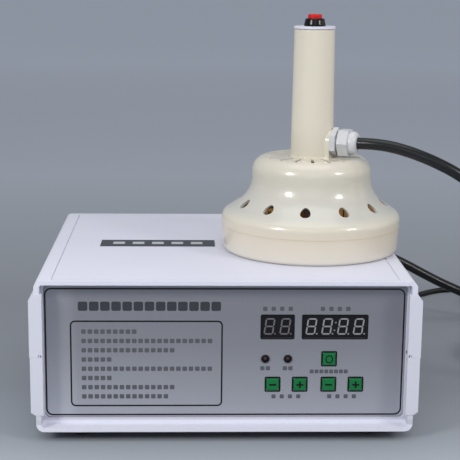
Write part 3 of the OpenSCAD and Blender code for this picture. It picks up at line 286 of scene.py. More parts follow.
def moulded_white_abs(colours):
    # ABS from a spark-textured mould: a soft sheen over a fine even grain, cool white.
    # The grain of 0.15 mm is drawn at 0.8 mm so that it shows.
    # The gradings stand for the way the studio light falls, most on the front and the foot.
    material = start_material("ABS_white_spark_textured", colours.case_white, roughness=0.55,
                              specular_ior_level=0.35)
    # The dip from 14.5 to 17 mm high is painted shade on the ledge in front of the foot of the front panel.
    by_height = ((0.008, 1.08), (0.0138, 1.08), (0.0145, 0.82), (0.0170, 0.82),
                 (0.020, 0.94), (0.118, 0.94), (0.126, 1.02))
    by_depth = ((-0.142, 1.0), (-0.06, 0.95), (0.0, 0.91), (0.14, 0.85))
    upward = graded_colour(material, "Z", shaded(colours.case_white, by_height))
    colour = graded_colour(material, "Y", shaded(WHITE, by_depth), upward)
    return surface_detail(material, colour, clouds=(60, 0.015), grain=(0.8, 0.12), rough=(0.5, 0.6), edge=0.5)


def polished_cream_abs(colours):
    # ABS from a polished mould: sharp highlights, faint flow clouds and a slight orange peel.
    # The grading stands for the light that falls on the wall and that the brown winding close behind
    # it warms, and a fine line shows where the bell meets its base.
    # The skin of the moulding is sharper than what lies under it, so a highlight has a soft rim.
    material = start_material("ABS_cream_polished", colours.head_cream, roughness=0.32, ior=1.45,
                              coat_weight=0.55, coat_roughness=0.1)
    painted_light_and_seam = ((0.132, (0.92, 0.92, 0.93)), (0.146, (0.94, 0.89, 0.85)), (0.1535, (0.92, 0.86, 0.79)),
              (0.1538, (0.86, 0.77, 0.69)), (0.1542, (0.86, 0.77, 0.69)), (0.1545, (0.91, 0.85, 0.78)),
              (0.163, (0.90, 0.88, 0.84)), (0.170, (0.75, 0.77, 0.80)), (0.182, (0.77, 0.78, 0.80)),
              (0.196, (0.82, 0.81, 0.79)), (0.215, (0.88, 0.86, 0.83)), (0.240, (0.96, 0.935, 0.88)))
    stops = [(z, [c * w for c, w in zip(colours.head_cream, tint)]) for z, tint in painted_light_and_seam]
    colour = graded_colour(material, "Z", stops)
    # Painted light: the wall glows by emission in its narrow slots, standing in for the light that the thin
    # wall lets in there, so that they aren't black.
    slot_width, slot_glow = 3 * MM, 0.55
    deep, open_air = 0.2, 0.6
    depth = add_node(material, "AmbientOcclusion", {"samples": 6, "only_local": True, "Distance": slot_width})
    glow = add_node(material, "MapRange",
                    {"From Min": deep, "From Max": open_air, "To Min": slot_glow, "To Max": 0.0},
                    {"Value": depth.outputs["AO"]})
    principled(material)["Emission Color"].default_value = (*colours.head_cream, 1)
    material.node_tree.links.new(glow.outputs["Result"], principled(material)["Emission Strength"])
    return surface_detail(material, colour, clouds=(45, 0.03), grain=(6, 0.02), rough=(0.27, 0.36), edge=0.5)


def printed_film(colours, sizes):
    # Polycarbonate film, screen-printed grey from behind: satin with a fine velvet grain.
    # The grain of 0.1 mm is drawn at 0.7 mm so that it shows.
    # The gradings are painted light and shade: less light towards the top and most at the left edge.
    # Outside the border line at the right a painted reflection of the case wall makes it paler.
    material = start_material("polycarbonate_film_grey", colours.panel_grey, roughness=0.36, ior=1.58)
    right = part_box("front_film")[1].x - sizes.border_right
    by_height = ((0.018, 1.08), (0.045, 0.88), (0.075, 0.68), (0.100, 0.62), (0.122, 0.64))
    by_width = ((-0.145, 1.12), (-0.132, 1.06), (-0.118, 0.79),
                (right - 0.004, 0.78), (right - 0.001, 0.85), (right, 1.0))
    upward = graded_colour(material, "Z", shaded(colours.panel_grey, by_height))
    colour = graded_colour(material, "X", shaded(WHITE, by_width), upward)
    return surface_detail(material, colour, clouds=(25, 0.02), grain=(0.7, 0.1), rough=(0.32, 0.4))


def screen_ink(name, colour):
    # Screen-printed ink: a flat film with slightly uneven density.
    return one_colour(name, colour, clouds=(2, 0.12), grain=(0.5, 0.05), rough=(0.45, 0.55),
                      roughness=0.5, specular_ior_level=0.25)


def moulded(name, hex_colour, rough, bump=0.08, edge=0.2, specular=0.5):
    # Moulded plastic or rubber in one colour: a soft highlight, a fine grain and faint clouds.
    return one_colour(name, linear(hex_colour), clouds=(8, 0.05), grain=(0.6, bump),
                      rough=(rough - 0.05, rough + 0.05), edge=edge, roughness=rough,
                      specular_ior_level=specular)


def painted_glow(material, hex_colour, strength):
    """Painted light: an even glow by emission that stands in for the light reaching a hidden piece through
    the thin wall round it.
    """
    principled(material)["Emission Color"].default_value = (*linear(hex_colour), 1)
    principled(material)["Emission Strength"].default_value = strength
    return material


def banded_ferrite():
    # Sintered ferrite bars, matt grey-black, with brown bands over part of their length and a few bare bands.
    # Painted light: the bars glow by emission in their own colours, standing in for the light that the thin
    # bell lets through, so that the brown shows behind its vents.
    bare, brown_band = linear("#35312C"), linear("#98703F")
    bar_reach, bare_half_width, glow = 0.060, 0.012, 0.5
    left_bands = ((0.0, bare), (0.045, brown_band), (0.0558, bare))
    right_bands = ((0.0, brown_band), (0.0411, bare), (0.0429, brown_band))
    material = start_material("ferrite_sintered_banded", bare, roughness=0.6, emission_strength=glow)
    place = add_node(material, "TexCoord").outputs["Object"]
    axis = add_node(material, "VectorMath", {"operation": "SUBTRACT", 1: HEAD_AXIS}, {0: place}).outputs[0]
    level = add_node(material, "VectorMath", {"operation": "MULTIPLY", 1: (1, 1, 0)}, {0: axis}).outputs[0]
    reach = add_node(material, "VectorMath", {"operation": "LENGTH"}, {0: level}).outputs["Value"]
    share = add_node(material, "Math", {"operation": "DIVIDE", 1: bar_reach}, {0: reach}).outputs["Value"]
    side = add_node(material, "SeparateXYZ", None, {"Vector": axis}).outputs["X"]
    ramps = []
    for bands in (left_bands, right_bands):
        ramp = add_node(material, "ValToRGB", None, {"Fac": share})
        ramp.color_ramp.interpolation = "CONSTANT"
        ramp.color_ramp.elements.new(0.5)
        for element, (at, colour) in zip(ramp.color_ramp.elements, bands):
            element.position = at / bar_reach
            element.color = (*colour, 1)
        ramps.append(ramp.outputs["Color"])
    at_right = add_node(material, "Math", {"operation": "GREATER_THAN", 1: 0.0}, {0: side})
    bands_by_side = add_node(material, "Mix", {"data_type": "RGBA"},
                     {MIX_SHARE: at_right.outputs["Value"], MIX_A: ramps[0], MIX_B: ramps[1]})
    in_middle = add_node(material, "Math", {"operation": "COMPARE", 1: 0.0, 2: bare_half_width}, {0: side})
    colour = add_node(material, "Mix", {"data_type": "RGBA", MIX_B: (*bare, 1)},
                      {MIX_SHARE: in_middle.outputs["Value"], MIX_A: bands_by_side.outputs[MIXED]}).outputs[MIXED]
    material.node_tree.links.new(colour, principled(material)["Emission Color"])
    return surface_detail(material, colour, clouds=(4, 0.1), grain=(0.8, 0.2))


def metal(name, hex_colour, rough):
    # Bare or plated metal: clear reflections broken by fine handling marks.
    return one_colour(name, linear(hex_colour), clouds=(3, 0.06), grain=(0.4, 0.06),
                      rough=(rough - 0.08, rough + 0.08), edge=0.1, metallic=1.0, roughness=rough)


def black_sheath(colours):
    # Extruded PVC sheath: smooth black with a dull narrow highlight and light scuffs.
    return one_colour("PVC_sheath_black", colours.cable_black, clouds=(18, 0.15), grain=(1.2, 0.06),
                      rough=(0.26, 0.34), roughness=0.3, specular_ior_level=0.45)


def woven_tie():
    # Hook-and-loop strap of nylon: matt black with a visible weave of 1 mm.
    return one_colour("nylon_hook_and_loop", linear("#1D1E21"), clouds=(6, 0.2), grain=(1, 0.6),
                      roughness=0.85)


def backdrop_paper(colours):
    # Matt grey background paper without gloss. The grading along the floor stands for the way the studio
    # light falls on it, and a painted contact shadow darkens it where something stands close above it.
    material = start_material("background_paper", colours.backdrop, roughness=0.9)
    by_depth = ((-0.20, 1.14), (-0.13, 0.88), (0.0, 0.69), (0.35, 0.68), (0.7, 0.88), (1.2, 1.2), (4.0, 1.62))
    contact_reach, contact_shade = 25 * MM, 0.35
    open_air = add_node(material, "AmbientOcclusion", {"samples": 8, "Distance": contact_reach})
    closeness = add_node(material, "ValToRGB", None, {"Fac": open_air.outputs["AO"]})
    dark, pale = closeness.color_ramp.elements
    dark.position = 0.05
    dark.color = (contact_shade, contact_shade, contact_shade, 1)
    pale.position = 0.45
    colour = graded_colour(material, "Y", shaded(colours.backdrop, by_depth), closeness.outputs["Color"])
    return surface_detail(material, colour, clouds=(300, 0.01), grain=(1.5, 0.02))


def dress(material, *names):
    """Gives CAD nodes a material."""
    for name in names:
        slots = NODES[name].data.materials
        slots.clear()
        slots.append(material)


def make_object(name, bm, material):
    """Turns a bmesh into an object with one material."""
    mesh = bpy.data.meshes.new(name)
    bm.to_mesh(mesh)
    bm.free()
    mesh.materials.append(material)
    made = bpy.data.objects.new(name, mesh)
    bpy.context.scene.collection.objects.link(made)
    return made


def make_piece(name, bm, offset, material, body):
    """Thickens flat faces along an offset and turns them into a piece that rides on a body."""
    made = bmesh.ops.extrude_face_region(bm, geom=bm.faces[:])["geom"]
    bmesh.ops.translate(bm, vec=offset, verts=[v for v in made if isinstance(v, bmesh.types.BMVert)])
    bmesh.ops.recalc_face_normals(bm, faces=bm.faces[:])
    piece = make_object(name, bm, material)
    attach(piece, body)


def rounded(low, high, radius, steps=6):
    """Points of a rounded rectangle, anticlockwise, from its lowest and highest corners."""
    centres = [(high[0] - radius, high[1] - radius), (low[0] + radius, high[1] - radius),
               (low[0] + radius, low[1] + radius), (high[0] - radius, low[1] + radius)]
    points = []
    for quarter, (x, z) in enumerate(centres):
        for step in range(steps + 1):
            angle = math.radians(90 * (quarter + step / steps))
            points.append((x + radius * math.cos(angle), z + radius * math.sin(angle)))
    return points


def grown(low, high, across, along):
    """Corners of a rectangle that is grown by so much on each side."""
    return (low[0] - across, low[1] - along), (high[0] + across, high[1] + along)


def circle(centre, radius, steps=20):
    """Points of a circle, anticlockwise."""
    angles = [math.tau * i / steps for i in range(steps)]
    return [(centre[0] + radius * math.cos(a), centre[1] + radius * math.sin(a)) for a in angles]


def bar_outline(half, tall):
    """Points of a rectangle about the origin, anticlockwise."""
    return [(-half, -tall), (half, -tall), (half, tall), (-half, tall)]


def cross_outline(arm, half):
    """Points of an upright cross about the origin, from the reach and half width of its arms."""
    return [(-arm, -half), (-half, -half), (-half, -arm), (half, -arm), (half, -half), (arm, -half),
            (arm, half), (half, half), (half, arm), (-half, arm), (-half, half), (-arm, half)]


def heading(angle):
    """Level direction at an angle in radians."""
    return Vector((math.cos(angle), math.sin(angle), 0))


def in_metres(points):
    """Points that are given in millimetres."""
    return [Vector([c * MM for c in at]) for at in points]


def smooth_step(t):
    """0 to 1 with a soft start and end."""
    t = min(max(t, 0), 1)
    return t * t * (3 - 2 * t)


def add_area(bm, points, place):
    """One flat face through outline points that a function places in space."""
    bm.faces.new([bm.verts.new(place(*p)) for p in points])


def add_ring(bm, outer, inner, place):
    """A flat band between two outlines with as many points each."""
    out = [bm.verts.new(place(*p)) for p in outer]
    inn = [bm.verts.new(place(*p)) for p in inner]
    for i in range(len(out)):
        j = (i + 1) % len(out)
        bm.faces.new([out[i], out[j], inn[j], inn[i]])


def facing_front(y):
    """Places an outline's points in an upright plane that faces the front."""
    return lambda x, z: Vector((x, y, z))


def settings():
    """The scene's colours, sizes and stage."""
    scene = bpy.context.scene
    return scene.sealer_colours, scene.sealer_sizes, scene.sealer_stage


class SEALER_OT_stage(bpy.types.Operator):
    """Camera, background paper and studio light"""

    bl_idname = "sealer.stage"
    bl_label = "Stage"

    def execute(self, context):
        colours, _, stage = settings()
        self.add_camera(context.scene, stage)
        self.add_paper(colours)
        self.add_light(context.scene, colours, stage)
        return {"FINISHED"}

    def add_camera(self, scene, stage):
        yaw, pitch, roll = stage.camera_yaw, stage.camera_pitch, stage.camera_roll
        ahead = Vector((math.sin(yaw) * math.cos(pitch), math.cos(yaw) * math.cos(pitch), -math.sin(pitch)))
        level = Vector((math.cos(yaw), -math.sin(yaw), 0))
        above = level.cross(ahead)
        right = math.cos(roll) * level + math.sin(roll) * above
        up = math.cos(roll) * above - math.sin(roll) * level
        turn = Matrix((right, up, -ahead)).transposed().to_4x4()
        data = bpy.data.cameras.new("camera")
        data.lens = stage.camera_lens
        camera = bpy.data.objects.new("camera", data)
        camera.matrix_world = Matrix.Translation(stage.camera_at) @ turn
        scene.collection.objects.link(camera)
        scene.camera = camera

    def add_paper(self, colours):
        half_width, corner = 25.0, 1.0
        bm = bmesh.new()
        outline = rounded((-half_width, -half_width), (half_width, half_width), corner)
        add_area(bm, outline, lambda x, y: Vector((x, y, 0)))
        paper = make_object("paper", bm, backdrop_paper(colours))

    def add_light(self, scene, colours, stage):
        aim = Vector((0.03, 0.0, 0.15))
        # Name, place, diameter, power and tint
        lamps = [
            ("softbox_left", (-1.01, -1.00, 0.80), 0.4, stage.left_power, "#FFFDF8"),
            ("softbox_right", (1.21, -0.95, 0.91), 0.4, stage.right_power, "#FFFDF8"),
            ("panel_right", (1.6, -0.05, 0.5), 1.2, stage.side_power, "#FFEBD2"),
            ("overhead", (0.0, -0.1, 1.9), 1.6, stage.overhead_power, "#FFFFFF"),
            ("fill", (0.0, -2.4, 1.0), 1.6, stage.fill_power, "#FFFDF8"),
        ]
        for name, at, size, power, tint in lamps:
            data = bpy.data.lights.new(name, "AREA")
            data.shape = "DISK"
            data.size = size
            data.energy = power
            data.color = linear(tint)
            lamp = bpy.data.objects.new(name, data)
            lamp.location = at
            lamp.rotation_euler = (aim - Vector(at)).to_track_quat("-Z", "Y").to_euler()
            scene.collection.objects.link(lamp)
        scene.world = self.add_room(colours, stage)
        scene.view_settings.view_transform = "Standard"

    def add_room(self, colours, stage):
        """Even light from all round, which the camera, gloss and glass see as the grey of the paper."""
        world = bpy.data.worlds.new("room")
        world.use_nodes = True
        light = world.node_tree.nodes["Background"]
        light.inputs["Color"].default_value = (*linear("#CDD0D8"), 1)
        light.inputs["Strength"].default_value = stage.ambient
        seen = add_node(world, "Background", {"Color": (*colours.backdrop, 1)})
        rays = add_node(world, "LightPath").outputs
        eye = add_node(world, "Math", {"operation": "MAXIMUM"},
                       {0: rays["Is Camera Ray"], 1: rays["Is Glossy Ray"]})
        glass = add_node(world, "Math", {"operation": "MAXIMUM"},
                         {0: eye.outputs["Value"], 1: rays["Is Transmission Ray"]})
        mix = add_node(world, "MixShader", None, {
            0: glass.outputs["Value"], 1: light.outputs["Background"], 2: seen.outputs["Background"]})
        surface = world.node_tree.nodes["World Output"].inputs["Surface"]
        world.node_tree.links.new(mix.outputs["Shader"], surface)
        return world


class SEALER_OT_cables(bpy.types.Operator):
    """Head cable, mains lead and the ties round their coils"""

    bl_idname = "sealer.cables"
    bl_label = "Cables"

    def execute(self, context):
        colours, _, _ = settings()
        sheath = black_sheath(colours)
        gland = Vector((0, 0, HEAD_GLAND_Z))
        start = [HEAD_AXIS + reach * heading(HEAD_TURN) + gland for reach in HEAD_GLAND_REACH]
        route = start + in_metres(CABLE_OUT) + self.head_coil() + in_metres(CABLE_BACK + CASE_GLAND)
        cable = self.add_cord("head_cable", route, CABLE_D, sheath)
        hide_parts("head_cable_out", "head_cable_coil", "head_cable_back")
        route = in_metres(MAINS_START + MAINS_RUN) + self.mains_turns() + in_metres(MAINS_TAIL)
        lead = self.add_cord("mains_lead_flex", route, MAINS_D, sheath)
        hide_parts("mains_lead", "mains_coil", "mains_tail")
        tie = woven_tie()
        self.add_tie("head_cable_tie", CABLE_COIL, CABLE_COIL_R, CABLE_TIE_ANGLE, CABLE_D, CABLE_COIL_H,
                     CABLE_TIE_W, tie)
        self.add_tie("mains_lead_tie", MAINS_COIL, MAINS_COIL_R, MAINS_TIE_ANGLE, MAINS_COIL_W, MAINS_COIL_H,
                     MAINS_TIE_W, tie)
        # PVC moulded on: dull black. Drawn brass: warm and bright.
        dress(moulded("PVC_plug_black", "#1C1D1F", 0.45), "mains_plug", "lead_grip")
        dress(metal("brass_drawn", "#C9B36A", 0.25), "plug_pins")
        return {"FINISHED"}

    def head_coil(self):
        """Turns of the head's cable, flat on the table and then on each other, with a climb in each turn."""
        first, last, per_turn = -52, 720, 16
        climb_from, climb_angle = 200, 88
        count = round((last - first) / 360 * per_turn)
        points = []
        for i in range(1, count):
            angle = first + (last - first) * i / count
            rise = sum(smooth_step((angle - climb_from - 360 * turn) / climb_angle) for turn in (0, 1))
            height = Vector((0, 0, CABLE_D / 2 + CABLE_D * rise))
            points.append(CABLE_COIL + heading(math.radians(angle)) * CABLE_COIL_R + height)
        return points

    def mains_turns(self):
        """Turns of the mains lead: two turns inwards on the table, then outwards on top of them."""
        first, last, per_turn = 46, -1440, 20
        outer, inner, pitch_in, pitch_out = 40.3 * MM, 28.0 * MM, 6.1 * MM, 6.05 * MM
        turns_in, climb_from, climb_turns, out_from = 2, 1.95, 0.3, 2.15
        count = round((first - last) / 360 * per_turn)
        points = []
        for i in range(1, count):
            angle = first + (last - first) * i / count
            turns = (first - angle) / 360
            radius = inner + pitch_out * max(turns - out_from, 0)
            if turns < turns_in:
                radius = outer - pitch_in * turns
            height = Vector((0, 0, MAINS_D / 2 + MAINS_D * smooth_step((turns - climb_from) / climb_turns)))
            points.append(MAINS_COIL + heading(math.radians(angle)) * radius + height)
        return points

    def smoothed(self, route):
        """A route without the small unevenness of its points; its curves stay as they are."""
        inner = [(4 * (b + d) + 10 * c - a - e) / 16 for a, b, c, d, e in
                 zip(route, route[1:], route[2:], route[3:], route[4:])]
        return route[:2] + inner + route[-2:]

    def add_cord(self, name, route, diameter, material):
        route = self.smoothed(route)
        data = bpy.data.curves.new(name, "CURVE")
        data.dimensions = "3D"
        data.bevel_depth = diameter / 2
        data.bevel_resolution = 5
        data.resolution_u = 6
        data.use_fill_caps = True
        spline = data.splines.new("BEZIER")
        spline.bezier_points.add(len(route) - 1)
        for point, at in zip(spline.bezier_points, route):
            point.co = at
            point.handle_left_type = "AUTO"
            point.handle_right_type = "AUTO"
        data.materials.append(material)
        cord = bpy.data.objects.new(name, data)
        bpy.context.scene.collection.objects.link(cord)
        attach(cord, "case")
        return cord

    def add_tie(self, name, centre, radius, angle, width, height, strap, material):
        """A strap wrapped round the turns of a coil at one place."""
        out = heading(angle)
        along = Vector((-out.y, out.x, 0))
        middle = centre + out * radius - along * strap / 2
        thick, proud, clear = 1.2 * MM, 0.3 * MM, 0.1 * MM
        flap_from, flap_to = 2 * MM, 1 * MM
        outer_corner, inner_corner, flap_corner = 4 * MM, 3 * MM, 0.2 * MM
        low, high = (-width / 2 - thick, clear), (width / 2 + thick, height + thick)
        outer = rounded(low, high, outer_corner)
        inner = rounded(*grown(low, high, -thick, -thick), inner_corner)
        flap = rounded((low[0] + flap_from, high[1] - proud), (high[0] - flap_to, high[1] + proud),
                       flap_corner)
        bm = bmesh.new()
        place = lambda a, z: middle + out * a + Vector((0, 0, z))
        add_ring(bm, outer, inner, place)
        add_area(bm, flap, place)
        make_piece(name, bm, along * strap, material, "case")


class SEALER_OT_case(bpy.types.Operator):
    """Finish of the case halves, panels, feet and the strip on top"""

    bl_idname = "sealer.case"
    bl_label = "Case"

    def execute(self, context):
        colours, sizes, _ = settings()
        dress(moulded_white_abs(colours), "upper_shell", "lower_shell", "rear_panel")
        dress(moulded("ABS_grey_panel", "#8E919B", 0.45), "front_panel")
        dress(printed_film(colours, sizes), "front_film")
        dress(moulded("polycarbonate_film_dark", "#353940", 0.45), "top_strip")
        dress(moulded("rubber_black_foot", "#1B1B1D", 0.7, bump=0.2), "feet")
        dress(metal("steel_zinc_plated", "#B9BCC2", 0.32), "case_screws")
        self.print_strip(sizes)
        return {"FINISHED"}

    def print_strip(self, sizes):
        """Five plain white marks, evenly spaced along the strip."""
        low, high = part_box("top_strip")
        count, mark_w, mark_d, corner, first = 5, 10.5 * MM, 9 * MM, 1.5 * MM, 16 * MM
        pitch = (high.x - low.x - 2 * first) / (count - 1)
        bm = bmesh.new()
        for i in range(count):
            middle = (low.x + first + i * pitch, (low.y + high.y) / 2)
            mark = rounded(*grown(middle, middle, mark_w / 2, mark_d / 2), corner)
            add_area(bm, mark, lambda a, b: Vector((a, b, high.z)))
        ink = screen_ink("ink_white", linear("#B4B7BC"))
        make_piece("strip_marks", bm, (0, 0, sizes.ink_height), ink, "case")


class SEALER_OT_panel_print(bpy.types.Operator):
    """Lines, frames and plain marks printed on the front film"""

    bl_idname = "sealer.panel_print"
    bl_label = "Panel print"

    # All in millimetres. A frame has a gap round its node, and an outer and an inner corner.
    WINDOW_SIDES = {"two_digit_display": 0.95, "four_digit_display": 1.45}
    WINDOW_FRAME = (0.25, 1.4, 0.3)
    KEY_FRAME = (-1.1, 1.2, 1.0)
    BOX = ((-123.8, 25.6), (-2.9, 96.2), 3.5)
    # Rows of marks: left end, or a caption's middle, then foot, count, pitch and size
    BOX_ROWS = [(-115.4, 85.8 - row * 7.75, count, 5.05, 3.7)
                for row, count in enumerate((9, 21, 15, 5, 21, 5, 15, 14))]
    TITLE = (-117.8, 104.8, 13, 8.85, 7.6)
    CAPTIONS = (
        (41.6, 104.9, 4, 6.8, 3.5), (87.8, 104.9, 4, 6.8, 3.5),
        (32.1, 55.3, 2, 4.5, 3.5), (50.3, 55.3, 2, 4.5, 3.5), (83.6, 52.7, 8, 3.95, 3.2),
        (49.3, 31.5, 4, 6.7, 3.4), (94.6, 31.5, 4, 6.7, 3.4),
    )

    def execute(self, context):
        colours, sizes, _ = settings()
        low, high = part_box("front_film")
        front = facing_front(low.y)
        lines, marks, title = bmesh.new(), bmesh.new(), bmesh.new()
        self.add_line(lines, (low.x + sizes.border_left, low.z + sizes.border_foot),
                      (high.x - sizes.border_right, high.z - sizes.border_top), sizes.border_corner,
                      sizes, front)
        box_low, box_high, corner = self.BOX
        self.add_line(lines, [c * MM for c in box_low], [c * MM for c in box_high], corner * MM, sizes, front)
        for node, side in self.WINDOW_SIDES.items():
            self.add_frame(lines, node, side * MM, sizes.window_rim, self.WINDOW_FRAME, front)
        for node in SEALER_OT_keys.SIGNS:
            self.add_frame(lines, node, sizes.key_rim, sizes.key_rim, self.KEY_FRAME, front)
        for row in self.BOX_ROWS:
            self.add_marks(marks, *row, front)
        for middle, foot, count, pitch, size in self.CAPTIONS:
            left = middle - pitch * (count - 1) / 2 - size / 2
            self.add_marks(marks, left, foot, count, pitch, size, front)
        self.add_marks(title, *self.TITLE, front)
        for name, bm, ink in (("panel_lines", lines, screen_ink("ink_black", colours.ink_black)),
                              ("panel_marks", marks, screen_ink("ink_grey", colours.ink_grey)),
                              ("panel_title_marks", title, screen_ink("ink_charcoal", linear("#3A3C42")))):
            make_piece(name, bm, (0, -sizes.ink_height, 0), ink, "case")
        return {"FINISHED"}

    def add_line(self, bm, low, high, corner, sizes, place):
        """A closed line of even width along a rounded rectangle."""
        half = sizes.line_width / 2
        outer = rounded(*grown(low, high, half, half), corner + half)
        inner = rounded(*grown(low, high, -half, -half), corner - half)
        add_ring(bm, outer, inner, place)

    def add_frame(self, bm, node, side, rim, shape, place):
        """A frame round a node that stands in the film, with its width at the sides and above and below."""
        gap, outer_corner, inner_corner = [c * MM for c in shape]
        low, high = [(c.x, c.z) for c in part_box(node)]
        outer = rounded(*grown(low, high, gap + side, gap + rim), outer_corner)
        inner = rounded(*grown(low, high, gap, gap), inner_corner)
        add_ring(bm, outer, inner, place)

    def add_marks(self, bm, left, foot, count, pitch, size, place):
        """A row of plain rounded marks, in millimetres."""
        corner, corner_steps = 0.18 * size * MM, 3
        for i in range(count):
            low = ((left + i * pitch) * MM, foot * MM)
            high = (low[0] + size * MM, low[1] + size * MM)
            add_area(bm, rounded(low, high, corner, corner_steps), place)


class SEALER_OT_displays(bpy.types.Operator):
    """Seven-segment displays and lamps, unlit"""

    bl_idname = "sealer.displays"
    bl_label = "Displays"

    def execute(self, context):
        _, sizes, _ = settings()
        # Smoked epoxy face: near black with a weak sheen.
        smoked = moulded("epoxy_smoked_display", "#0D0D12", 0.4, specular=0.25)
        dress(smoked, "two_digit_display", "four_digit_display")
        # Unlit segments: milky epoxy that stands out from the smoked face.
        dim = moulded("epoxy_segment_unlit", "#69666C", 0.35, edge=0)
        bright = moulded("epoxy_segment_pale", "#939397", 0.35, edge=0)
        self.add_digits("two_digit_segments", "two_digit_display", 2, -0.2 * MM, dim, sizes)
        self.add_digits("four_digit_segments", "four_digit_display", 4, 0.0, bright, sizes)
        # Tinted epoxy lamps, unlit: dull and dark red. Their nylon clips are black with a soft sheen.
        dress(moulded("epoxy_red_lens", "#2C191B", 0.6, edge=0), "power_lamp", "work_lamp")
        dress(moulded("nylon_black_clip", "#17181B", 0.4), "lamp_clips")
        return {"FINISHED"}

    def add_digits(self, name, node, count, shift, material, sizes):
        pitch, lift, dot_right, dot_up = 12.7 * MM, 0.4 * MM, 1.4 * MM, 0.7 * MM
        dot_r, colon_r, colon_z = 0.65 * MM, 0.6 * MM, 3.2 * MM
        low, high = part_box(node)
        middle = (low + high) / 2
        level = middle.z + lift
        dot = (sizes.digit_width / 2 + dot_right, dot_up - sizes.digit_height / 2)
        bm = bmesh.new()
        for i in range(count):
            at = (middle.x + (i - (count - 1) / 2) * pitch + shift, level)
            for outline in (*self.segments(sizes), circle(dot, dot_r)):
                self.add_slanted(bm, outline, at, low.y, sizes)
        if count == 4:
            for z in (-colon_z, colon_z):
                self.add_slanted(bm, circle((0, z), colon_r), (middle.x, level), low.y, sizes)
        make_piece(name, bm, (0, -sizes.ink_height, 0), material, "case")

    def segments(self, sizes):
        """Outlines of the seven segments about the middle of a digit."""
        w, h, half = sizes.digit_width, sizes.digit_height, sizes.segment_stroke / 2
        gap = 0.25 * MM
        across, down = w / 2 - half - gap, h / 4 - half / 2 - gap
        flat = [(across, 0), (across - half, half), (half - across, half), (-across, 0),
                (half - across, -half), (across - half, -half)]
        upright = [(half, half - down), (half, down - half), (0, down), (-half, down - half),
                   (-half, half - down), (0, -down)]
        places = [(flat, 0, z) for z in (half - h / 2, 0, h / 2 - half)]
        places += [(upright, x, z) for x in (half - w / 2, w / 2 - half)
                   for z in (half / 2 - h / 4, h / 4 - half / 2)]
        return [[(x + dx, z + dz) for x, z in outline] for outline, dx, dz in places]

    def add_slanted(self, bm, outline, at, y, sizes):
        lean = math.tan(sizes.digit_slant)
        add_area(bm, [(at[0] + x + z * lean, at[1] + z) for x, z in outline], facing_front(y))


class SEALER_OT_keys(bpy.types.Operator):
    """Square keys and the signs on them"""

    bl_idname = "sealer.keys"
    bl_label = "Keys"

    SIGNS = {
        "key_reset": "ring",
        "key_time_minus": "minus",
        "key_time_plus": "plus",
        "key_power_minus": "minus",
        "key_power_plus": "plus",
    }

    def execute(self, context):
        colours, sizes, _ = settings()
        # Moulded ABS keys: saturated green with a soft gloss.
        green = one_colour("ABS_green_key", colours.key_green, clouds=(5, 0.06), grain=(0.6, 0.08),
                           rough=(0.4, 0.5), edge=0.2, roughness=0.45, specular_ior_level=0.3)
        ink = screen_ink("ink_key_sign", linear("#050B07"))
        for node, sign in self.SIGNS.items():
            dress(green, node)
            self.add_sign(node, sign, ink, sizes)
        return {"FINISHED"}

    def add_sign(self, node, sign, ink, sizes):
        low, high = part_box(node)
        middle = (low + high) / 2
        half, stroke = sizes.symbol_size / 2, sizes.symbol_stroke / 2
        bm = bmesh.new()
        place = lambda x, z: Vector((middle.x + x, low.y, middle.z + z))
        if sign == "ring":
            # A little larger than the other signs, with a bolder line and nearly round at its ends.
            wide, tall, line = 1.08 * half, 1.2 * half, 1.4 * stroke
            corner = 0.95 * wide
            outer = rounded((-wide, -tall), (wide, tall), corner)
            inner = rounded((line - wide, line - tall), (wide - line, tall - line), corner - line)
            add_ring(bm, outer, inner, place)
        elif sign == "minus":
            add_area(bm, bar_outline(half, stroke), place)
        else:
            add_area(bm, cross_outline(half, stroke), place)
        make_piece(node + "_sign", bm, (0, -sizes.ink_height, 0), ink, node)


class SEALER_OT_head(bpy.types.Operator):
    """Sealing head, its handle, trigger and glands"""

    bl_idname = "sealer.head"
    bl_label = "Sealing head"

    def execute(self, context):
        colours, _, _ = settings()
        dress(polished_cream_abs(colours), "head_bell", "head_base")
        dress(moulded("ABS_white_cap", "#DCDCEA", 0.35), "handle_cap")
        dress(moulded("ABS_black_bezel", "#060607", 0.2, bump=0.01, specular=0.3), "trigger_body")
        # Moulded ABS button: saturated red with a soft gloss.
        red = one_colour("ABS_red_button", colours.button_red, clouds=(4, 0.06), grain=(0.6, 0.06),
                         rough=(0.4, 0.5), edge=0.3, roughness=0.45, specular_ior_level=0.3)
        dress(red, "trigger_button")
        # Moulded nylon glands: cool white with a waxy gloss.
        nylon = one_colour("nylon_white_gland", colours.gland_white, clouds=(6, 0.03), grain=(0.8, 0.06),
                           rough=(0.28, 0.4), edge=0.4, roughness=0.32, ior=1.53)
        dress(nylon, "head_gland_body", "head_gland_nut", "case_gland_body", "case_gland_nut",
              "case_gland_locknut")
        dress(moulded("rubber_grey_seal", "#3A3B3E", 0.7), "gland_seals")
        # Phenolic board and enamelled wire: brown, with a painted glow for the light that reaches them
        # through the thin bell.
        board = moulded("phenolic_board", "#A8703A", 0.6, bump=0.2)
        dress(painted_glow(board, "#A8703A", 0.05), "coil_former")
        litz = moulded("enamelled_litz", "#A5561E", 0.35)
        dress(painted_glow(litz, "#A5561E", 0.5), "induction_coil")
        dress(banded_ferrite(), "ferrite_bars")
        dress(metal("steel_zinc_screw", "#B9BCC2", 0.32), "base_screws", "trigger_nut")
        return {"FINISHED"}


